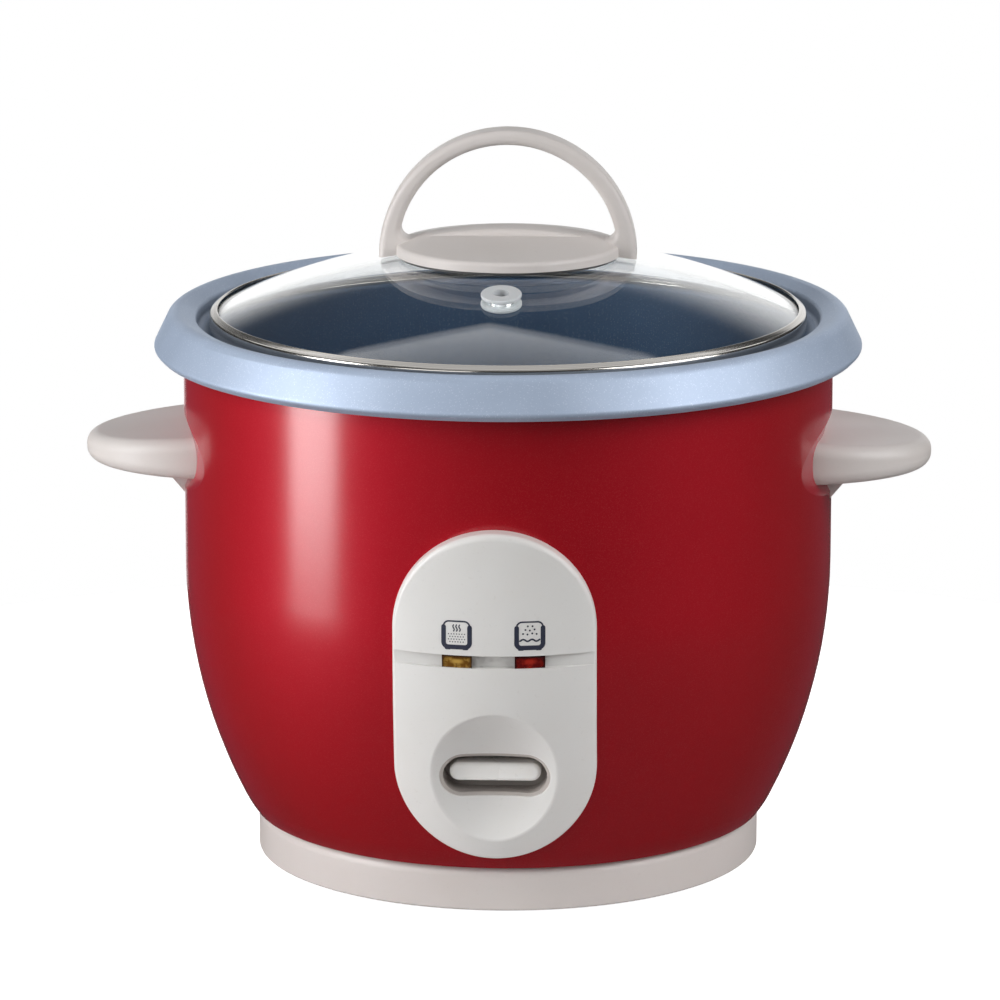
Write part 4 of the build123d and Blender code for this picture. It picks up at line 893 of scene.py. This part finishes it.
def quads(rows: int, columns: int, closed_rows: bool = False,
          closed_columns: bool = False) -> NDArray[np.int64]:
    """Join a grid of corners into four-sided faces.

    A face takes a corner, the next in its row, that one's neighbour in the next row, and its own.
    A closed way runs on from its last corner to its first.

    Args:
        rows: Number of rows of corners.
        columns: Number of corners in a row.
        closed_rows: Join the last row to the first.
        closed_columns: Join the end of each row to its start.

    Returns:
        Corner numbers of each face.
    """
    row, column = np.meshgrid(np.arange(rows if closed_rows else rows - 1),
                              np.arange(columns if closed_columns else columns - 1), indexing="ij")
    here, there = row * columns, (row + 1) % rows * columns
    beside = (column + 1) % columns
    corner = [here + column, here + beside, there + beside, there + column]
    return np.stack(corner, axis=-1).reshape(-1, 4)


def lathe(profile: Array, turns: int) -> tuple[Array, Faces]:
    """Turn a closed profile about the z axis: its radius goes round by cosine and sine.

    Args:
        profile: Rows of radius and height round the section.
        turns: Number of steps round the axis.

    Returns:
        Corners and faces of the ring.
    """
    angles = np.linspace(0.0, FULL_TURN, turns, endpoint=False)
    radius, height = profile.T
    points = np.stack([
        np.outer(np.cos(angles), radius),
        np.outer(np.sin(angles), radius),
        np.broadcast_to(height, (turns, len(height))),
    ], axis=-1).reshape(-1, 3)
    return points, quads(turns, len(profile), closed_rows=True, closed_columns=True).tolist()


def arc(centre: Pair, radius: float, start: float, stop: float, steps: int = 10) -> Array:
    """Give points on a circular arc: the centre plus the radius times cosine and sine.

    Args:
        centre: Middle of the circle.
        radius: Radius of the circle.
        start: First angle in degrees.
        stop: Last angle in degrees.
        steps: Number of points.

    Returns:
        Rows of the two coordinates.
    """
    turn = np.radians(np.linspace(start, stop, steps))
    return np.stack([centre[0] + radius * np.cos(turn), centre[1] + radius * np.sin(turn)], axis=-1)


@dataclass(frozen=True)
class LidBand:
    """Stainless band rolled round the edge of the glass, with a bead along each lip."""

    width: float = 2.5
    corner: float = 1.1
    bead: float = 0.45
    lip_rise: float = 0.15
    top_rise: float = 0.75
    wall: float = 0.6
    channel: float = 2.4
    corner_steps: int = 12
    foot_steps: int = 6
    steps: int = 288

    def build(self, palette: Palette) -> list[bpy.types.Object]:
        """Make the band and let it stand for the plain one.

        The section runs over the lip's bead, the rounded top, the foot and the lower bead, and back
        up the inside of the wall. It is turned about the axis.

        Args:
            palette: The finishes.

        Returns:
            The band.
        """
        outer, foot = COOKER.lid_r, COOKER.lid_z
        inner = outer - self.width
        lip_z = float(COOKER.dome(np.array(inner), self.lip_rise))
        top_z = float(COOKER.dome(np.array(outer - self.corner), self.top_rise))
        wall_r = outer - self.wall
        profile = np.concatenate([
            arc((inner + self.bead, lip_z + self.bead), self.bead, 250.0, 70.0),
            arc((outer - self.corner, top_z - self.corner), self.corner, 75.0, 0.0,
                self.corner_steps),
            arc((outer - self.bead, foot + self.bead), self.bead, 0.0, -90.0, self.foot_steps),
            arc((inner + self.bead, foot + self.bead), self.bead, 270.0, 90.0),
            np.array([[wall_r, foot + self.wall], [wall_r, foot + self.channel]]),
        ])
        piece = Piece("lid_band_rolled", Body.LID, palette.get(Palette.STAINLESS), "stainless")
        band = piece.place(*lathe(profile, self.steps))
        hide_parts("lid_band")
        return [band]


@dataclass(frozen=True)
class CoilSpring:
    """Open coil spring about the cooker's axis; it does not shorten as its joint moves."""

    node: str
    joint: str
    held_at_top: bool
    wire_r: float = 0.5
    turns: int = 4
    steps: int = 64
    ring: int = 12
    slack: float = 0.05

    def build(self, palette: Palette) -> list[bpy.types.Object]:
        """Wind the spring in the place of the plain one.

        Args:
            palette: The finishes.

        Returns:
            The spring.
        """
        cad = frame["nodes"][self.node]
        box = np.array([cad.matrix_world @ Vector(corner) for corner in cad.bound_box]) / MM
        low, high = float(box[:, 2].min()), float(box[:, 2].max())
        points, faces = self._wind(float(box[:, 0].max()) - self.wire_r, low, high)
        piece = Piece(self.node + "_coil", Body.COOKER, palette.get(Palette.STEEL), "spring_steel")
        coil = piece.place(points, faces)
        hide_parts(self.node)
        keep = 1.0 - (self._travel() + self.slack) / (high - low)
        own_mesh(coil)
        return [coil]

    def _travel(self) -> float:
        """Give the joint's longest travel in millimetres."""
        joint = next(joint for joint in frame["joints"] if joint["name"] == self.joint)
        return max(abs(limit) for limit in joint["range_m"]) / MM

    def _wind(self, radius: float, low: float, high: float) -> tuple[Array, Faces]:
        """Carry a ring of the wire's radius along a helix, and close both ends.

        The helix goes round by cosine and sine while it rises evenly. Each ring stands in the plane
        of the axis and its own place on the helix.

        Args:
            radius: Radius of the wire's centre line.
            low: Lowest height.
            high: Highest height.

        Returns:
            Corners and faces of the wire.
        """
        count = self.steps * self.turns + 1
        turn = np.linspace(0.0, FULL_TURN * self.turns, count)
        rise = np.linspace(low + self.wire_r, high - self.wire_r, count)
        outward = np.stack([np.cos(turn), np.sin(turn), np.zeros(count)], axis=-1)
        centre = outward * radius + np.outer(rise, UP)
        around = np.linspace(0.0, FULL_TURN, self.ring, endpoint=False)[None, :, None]
        across = np.cos(around) * outward[:, None, :] + np.sin(around) * np.array(UP)
        points = (centre[:, None, :] + self.wire_r * across).reshape(-1, 3)
        last = (count - 1) * self.ring
        ends = [list(range(self.ring)), list(range(last, last + self.ring))]
        return points, ends + quads(count, self.ring, closed_columns=True).tolist()


@dataclass
class Drawing:
    """Flat strokes and dots, printed on the control panel."""

    points: list[Array] = field(default_factory=list)
    faces: Faces = field(default_factory=list)
    count: int = 0

    PRINT_HEIGHT = 0.035
    CAP_STEPS = 7

    def _strip(self, left: Array, right: Array) -> None:
        """Add a strip between two rows of points.

        Args:
            left: First row of x and z.
            right: Second row of x and z.
        """
        self.points += [left, right]
        self.faces += (quads(2, len(left)) + self.count).tolist()
        self.count += 2 * len(left)

    def stroke(self, path: Array, width: float) -> None:
        """Add a line with round ends: the path moved half the width to each side.

        Args:
            path: Rows of x and z.
            width: Width of the line.
        """
        along = np.gradient(path, axis=0)
        along /= np.linalg.norm(along, axis=1, keepdims=True)
        side = np.stack([-along[:, 1], along[:, 0]], axis=-1) * width / 2
        self._strip(path + side, path - side)
        for end in (path[0], path[-1]):
            self.dot(tuple(end), width / 2)

    def dot(self, centre: Pair, radius: float) -> None:
        """Add a filled round dot, a strip between the upper and the lower half of a circle.

        Args:
            centre: x and z of the middle.
            radius: Radius of the dot.
        """
        self._strip(arc(centre, radius, 0.0, 180.0, self.CAP_STEPS),
                    arc(centre, radius, 360.0, 180.0, self.CAP_STEPS))

    def place(self, piece: Piece, middle: Pair) -> bpy.types.Object:
        """Lay the drawing on the panel's front.

        Args:
            piece: The piece to make.
            middle: x and z on the panel where the drawing's origin goes.

        Returns:
            The printed drawing.
        """
        x, z = (np.concatenate(self.points) + np.array(middle)).T
        y = COOKER.panel_front(x, z) - self.PRINT_HEIGHT
        return piece.place(np.stack([x, y, z], axis=-1), self.faces, smooth=False)


@dataclass(frozen=True)
class Pictograms:
    """Two printed signs over the lamps: a pot that keeps warm and a pot that boils."""

    above_groove: float = 8.5
    half: float = 3.9
    corner: float = 1.4
    wall: float = 1.4
    wall_top: float = 2.2
    line: float = 0.5
    lid_corner: float = 1.6
    lid_top: float = 4.0
    foot: float = 0.9
    foot_span: Pair = (2.1, 3.1)
    foot_drop: float = 0.4
    steam: tuple[float, ...] = (-0.9, 0.0, 0.9)
    steam_foot: float = 1.0
    steam_height: float = 1.9
    steam_sway: float = 0.2
    steam_line: float = 0.36
    grain_rows: int = 4
    grain_columns: int = 7
    grain_first: Pair = (-2.4, 0.1)
    grain_pitch: float = 0.8
    grain_r: float = 0.19
    water_half: float = 2.9
    water_z: float = -1.6
    water_wave: float = 0.3
    water_turn: float = 2.4
    corner_steps: int = 8
    floor_steps: int = 9
    lid_steps: int = 7
    steam_steps: int = 15
    water_steps: int = 41
    bubble_r: float = 0.3
    bubbles: tuple[Pair, ...] = (
        (-2.0, 0.4), (-0.7, 0.2), (0.7, 0.5), (2.0, 0.3), (-1.3, 1.6), (0.0, 1.4), (1.4, 1.7),
        (-0.6, 2.7), (0.8, 2.7),
    )

    def build(self, palette: Palette) -> list[bpy.types.Object]:
        """Print both signs.

        Args:
            palette: The finishes.

        Returns:
            The two signs.
        """
        made = []
        for name, side, fill in (("sign_keep_warm", -1, self._warm), ("sign_cook", 1, self._boil)):
            drawing = Drawing()
            self._pot(drawing)
            fill(drawing)
            piece = Piece(name, Body.COOKER, palette.get(Palette.PRINT), "panel_plastic")
            middle = (side * COOKER.lens_pitch / 2, COOKER.groove_z + self.above_groove)
            made.append(drawing.place(piece, middle))
        return made

    def _pot(self, drawing: Drawing) -> None:
        """Draw a pot with a thin lid line, heavy walls and two feet.

        Args:
            drawing: Where to draw.
        """
        half, inset, lid = self.half, self.half - self.corner, self.half - self.lid_corner
        drawing.stroke(np.concatenate([
            np.array([[-half, self.wall_top], [-half, 0.0]]),
            arc((-inset, -inset), self.corner, 180.0, 270.0, self.corner_steps),
            np.linspace((-inset, -half), (inset, -half), self.floor_steps)[1:-1],
            arc((inset, -inset), self.corner, 270.0, 360.0, self.corner_steps),
            np.array([[half, 0.0], [half, self.wall_top]]),
        ]), self.wall)
        lid_z = self.lid_top - self.lid_corner
        drawing.stroke(np.concatenate([
            arc((-lid, lid_z), self.lid_corner, 180.0, 90.0, self.corner_steps),
            np.linspace((-lid, self.lid_top), (lid, self.lid_top), self.lid_steps)[1:-1],
            arc((lid, lid_z), self.lid_corner, 90.0, 0.0, self.corner_steps),
        ]), self.line)
        foot_z = -half - self.foot_drop
        for side in (-1, 1):
            ends = [[side * x, foot_z] for x in self.foot_span]
            drawing.stroke(np.array(ends), self.foot)

    def _warm(self, drawing: Drawing) -> None:
        """Draw rising steam, one sine wave each, over staggered rows of grains.

        Args:
            drawing: Where to draw.
        """
        rise = np.linspace(0.0, 1.0, self.steam_steps)
        wave = self.steam_sway * np.sin(FULL_TURN * rise)
        for x in self.steam:
            path = np.stack([x + wave, self.steam_foot + self.steam_height * rise], axis=-1)
            drawing.stroke(path, self.steam_line)
        left, top = self.grain_first
        for row in range(self.grain_rows):
            odd = row % 2
            for column in range(self.grain_columns - odd):
                x = left + self.grain_pitch * (column + odd / 2)
                drawing.dot((x, top - self.grain_pitch * row), self.grain_r)

    def _boil(self, drawing: Drawing) -> None:
        """Draw bubbles over a water line that is a sine wave.

        Args:
            drawing: Where to draw.
        """
        x = np.linspace(-self.water_half, self.water_half, self.water_steps)
        z = self.water_z + self.water_wave * np.sin(self.water_turn * x)
        drawing.stroke(np.stack([x, z], axis=-1), self.line)
        for place in self.bubbles:
            drawing.dot(place, self.bubble_r)


class Veil(Enum):
    """How a softbox's cloth spreads the light."""

    EVEN = "even"
    FADE = "fade"
    TENT = "tent"


@dataclass(frozen=True)
class Softbox:
    """Rectangular studio light, turned to the cooker's middle."""

    name: str
    azimuth: float
    elevation: float
    distance: float
    size: Pair
    power: float
    spin: float = 0.0
    gloss_only: bool = False
    veil: Veil = Veil.EVEN

    AIM = (0.0, 0.0, 0.11)
    FADE = (1.0, 0.56)
    TENT_MIDDLE = 0.533
    TENT_SWAG = 1.15
    TENT_TUCK = 5.6
    TENT_SLANT = 0.155
    TENT_HEM = 0.21
    TENT_EDGE = (0.0, 0.03)
    TENT_DIM = (0.22, 0.5, 1.0, 0.5)

    def place(self) -> None:
        """Add the light to the scene."""
        lamp = bpy.data.lights.new(self.name, "AREA")
        lamp.shape = "RECTANGLE"
        lamp.size, lamp.size_y = self.size
        lamp.energy = self.power
        turn, lift = math.radians(self.azimuth), math.radians(self.elevation)
        level = math.cos(lift)
        back = Vector((math.sin(turn) * level, -math.cos(turn) * level, math.sin(lift)))
        light = bpy.data.objects.new(self.name, lamp)
        light.location = Vector(self.AIM) + back * self.distance
        light.rotation_mode = "QUATERNION"
        roll = Quaternion(UP, math.radians(self.spin))
        light.rotation_quaternion = (-back).to_track_quat("-Z", "Y") @ roll
        light.visible_diffuse = not self.gloss_only
        bpy.context.scene.collection.objects.link(light)
        if self.veil is not Veil.EVEN:
            self._hang(lamp)

    def _hang(self, lamp: bpy.types.Light) -> None:
        """Spread the light unevenly over the softbox.

        Args:
            lamp: The light's data.
        """
        lamp.use_nodes = True
        n = Nodes(lamp.node_tree)
        u, v, _ = n.axes(n.add("ShaderNodeNewGeometry").outputs["Parametric"])
        strength = n.ramp(v, *self.FADE) if self.veil is Veil.FADE else self._tent(n, u, v)
        for node in lamp.node_tree.nodes:
            if node.type == "EMISSION":
                n.feed(node, {"Strength": strength})

    def _tent(self, n: Nodes, u: Socket, v: Socket) -> Socket:
        """Light the cloth above a slanted hem that hangs in two swags, dimmer further up.

        The hem's height is the distance from the middle times a number that falls with that
        distance, less a slant, plus the lowest height.

        Args:
            n: Node helper of the lamp's tree.
            u: Place across the cloth, 0 to 1.
            v: Place up the cloth, 0 to 1.

        Returns:
            The strength socket.
        """
        across = n.math("SUBTRACT", u, self.TENT_MIDDLE)
        aside = n.math("ABSOLUTE", across)
        tuck = n.math("SUBTRACT", self.TENT_SWAG, n.math("MULTIPLY", aside, self.TENT_TUCK))
        swag = n.math("MULTIPLY", aside, tuck)
        slant = n.math("SUBTRACT", swag, n.math("MULTIPLY", across, self.TENT_SLANT))
        hem = n.math("ADD", slant, self.TENT_HEM)
        lit = n.ramp(n.math("SUBTRACT", v, hem), *self.TENT_EDGE)
        return n.math("MULTIPLY", lit, n.ramp(v, *self.TENT_DIM))


@dataclass(frozen=True)
class Studio:
    """White table, soft lights and the camera."""

    table_r: float = 0.36
    table_steps: int = 96
    table_paint: Colour = (0.74, 0.74, 0.74, 1.0)
    table_in_gloss: Colour = (0.1, 0.1, 0.1, 1.0)
    table_lift: float = 1.0
    world_light: float = 0.06
    through_glass: float = 0.8
    through_below: Pair = (0.12, 0.0)
    camera_distance: float = 1.9
    camera_height: float = 0.552
    camera_azimuth: float = 2.4
    camera_pitch: float = 13.05
    camera_lens: float = 224.27
    camera_sensor: float = 36.0
    camera_shift: float = -0.0082
    camera_reach: float = 50.0

    LIGHTS = (
        Softbox("strip_left", azimuth=-67.0, elevation=12.0, distance=1.0,
                size=(0.36, 0.9), power=9.5),
        Softbox("right_high", azimuth=66.0, elevation=28.0, distance=1.3,
                size=(1.0, 0.9), power=12.4),
        Softbox("left_front", azimuth=-26.0, elevation=18.0, distance=1.8,
                size=(0.9, 1.0), power=5.0),
        Softbox("overhead", azimuth=180.0, elevation=66.0, distance=1.4,
                size=(2.6, 1.4), power=16.0, veil=Veil.TENT, gloss_only=True),
        Softbox("ceiling", azimuth=0.0, elevation=70.0, distance=1.8,
                size=(1.4, 1.0), power=2.5),
        Softbox("backdrop", azimuth=180.0, elevation=10.0, distance=2.0,
                size=(1.7, 1.6), power=9.0, veil=Veil.FADE, spin=-12.0),
    )

    def build(self) -> None:
        """Add table, world, lights and camera."""
        self._floor()
        self._world()
        for light in self.LIGHTS:
            light.place()
        self._camera()
        bpy.context.scene.view_settings.view_transform = "Standard"

    def _floor(self) -> None:
        """Lay a round white table top that ends near the object.

        Past its edge, gloss mirrors the lights. The camera, and rays through glass, see the table
        lifted to white with the object's shadow on it. Mirror-like rays see it dark.
        """
        edge = arc((0.0, 0.0), self.table_r, 0.0, 360.0, self.table_steps + 1)[:-1]
        mesh = bpy.data.meshes.new("floor")
        mesh.from_pydata(np.pad(edge, ((0, 0), (0, 1))).tolist(), [], [range(len(edge))])
        floor = bpy.data.objects.new("floor", mesh)
        bpy.context.scene.collection.objects.link(floor)
        material = bpy.data.materials.new("floor")
        material.use_nodes = True
        material.node_tree.nodes.clear()
        n = Nodes(material.node_tree)
        rays = n.add("ShaderNodeLightPath").outputs
        colour = n.mix(rays["Is Glossy Ray"], self.table_paint, self.table_in_gloss)
        paint = n.add("ShaderNodeBsdfDiffuse", {"Color": colour}).outputs[0]
        glow = {"Color": WHITE, "Strength": self.table_lift}
        lift = n.add("ShaderNodeEmission", glow).outputs[0]
        lifted = n.add("ShaderNodeAddShader", {0: paint, 1: lift}).outputs[0]
        seen = n.math("MAXIMUM", rays["Is Camera Ray"], rays["Is Transmission Ray"])
        mixed = n.add("ShaderNodeMixShader", {0: seen, 1: paint, 2: lifted}).outputs[0]
        n.add("ShaderNodeOutputMaterial", {"Surface": mixed})
        mesh.materials.append(material)

    def _world(self) -> None:
        """Hang a dim world that the camera, and rays going down through glass, see as white."""
        world = bpy.data.worlds.new("studio")
        world.use_nodes = True
        world.node_tree.nodes.clear()
        n = Nodes(world.node_tree)
        soft, plain = (
            n.add("ShaderNodeBackground", {"Color": WHITE, "Strength": strength}).outputs[0]
            for strength in (self.world_light, 1.0)
        )
        rays = n.add("ShaderNodeLightPath").outputs
        way = n.axes(n.add("ShaderNodeTexCoord").outputs["Generated"])
        below = n.ramp(way[2], *self.through_below, 0.0, self.through_glass)
        through = n.math("MULTIPLY", rays["Is Transmission Ray"], below)
        seen = n.math("MAXIMUM", rays["Is Camera Ray"], through)
        mixed = n.add("ShaderNodeMixShader", {0: seen, 1: soft, 2: plain}).outputs[0]
        n.add("ShaderNodeOutputWorld", {"Surface": mixed})
        bpy.context.scene.world = world

    def _camera(self) -> None:
        """Stand the camera in front of the cooker, a little to the right, looking down."""
        data = bpy.data.cameras.new("camera")
        data.lens = self.camera_lens
        data.sensor_width = self.camera_sensor
        data.shift_x = self.camera_shift
        data.clip_end = self.camera_reach
        camera = bpy.data.objects.new("camera", data)
        turn, away = math.radians(self.camera_azimuth), self.camera_distance
        camera.location = (away * math.sin(turn), -away * math.cos(turn), self.camera_height)
        camera.rotation_euler = (math.radians(90 - self.camera_pitch), 0.0, turn)
        bpy.context.scene.collection.objects.link(camera)
        bpy.context.scene.camera = camera


def main() -> None:
    """Dress the frame, add the fine pieces and set the studio."""
    logging.basicConfig(level=logging.INFO, format="%(name)s: %(message)s")
    palette = Palette()
    for node, finish in palette.dress().items():
        LOG.info("%s wears %s", node, finish)
    assemblies = (
        LidBand(),
        CoilSpring("sensor_spring", "sensor_press", held_at_top=False),
        CoilSpring("release_spring", "magnet_lift", held_at_top=True),
        Pictograms(),
    )
    for assembly in assemblies:
        for piece in assembly.build(palette):
            LOG.info("%s made with %d faces", piece.name, len(piece.data.polygons))
    Studio().build()
    LOG.info("scene ready")


if __name__ == "__main__":
    main()
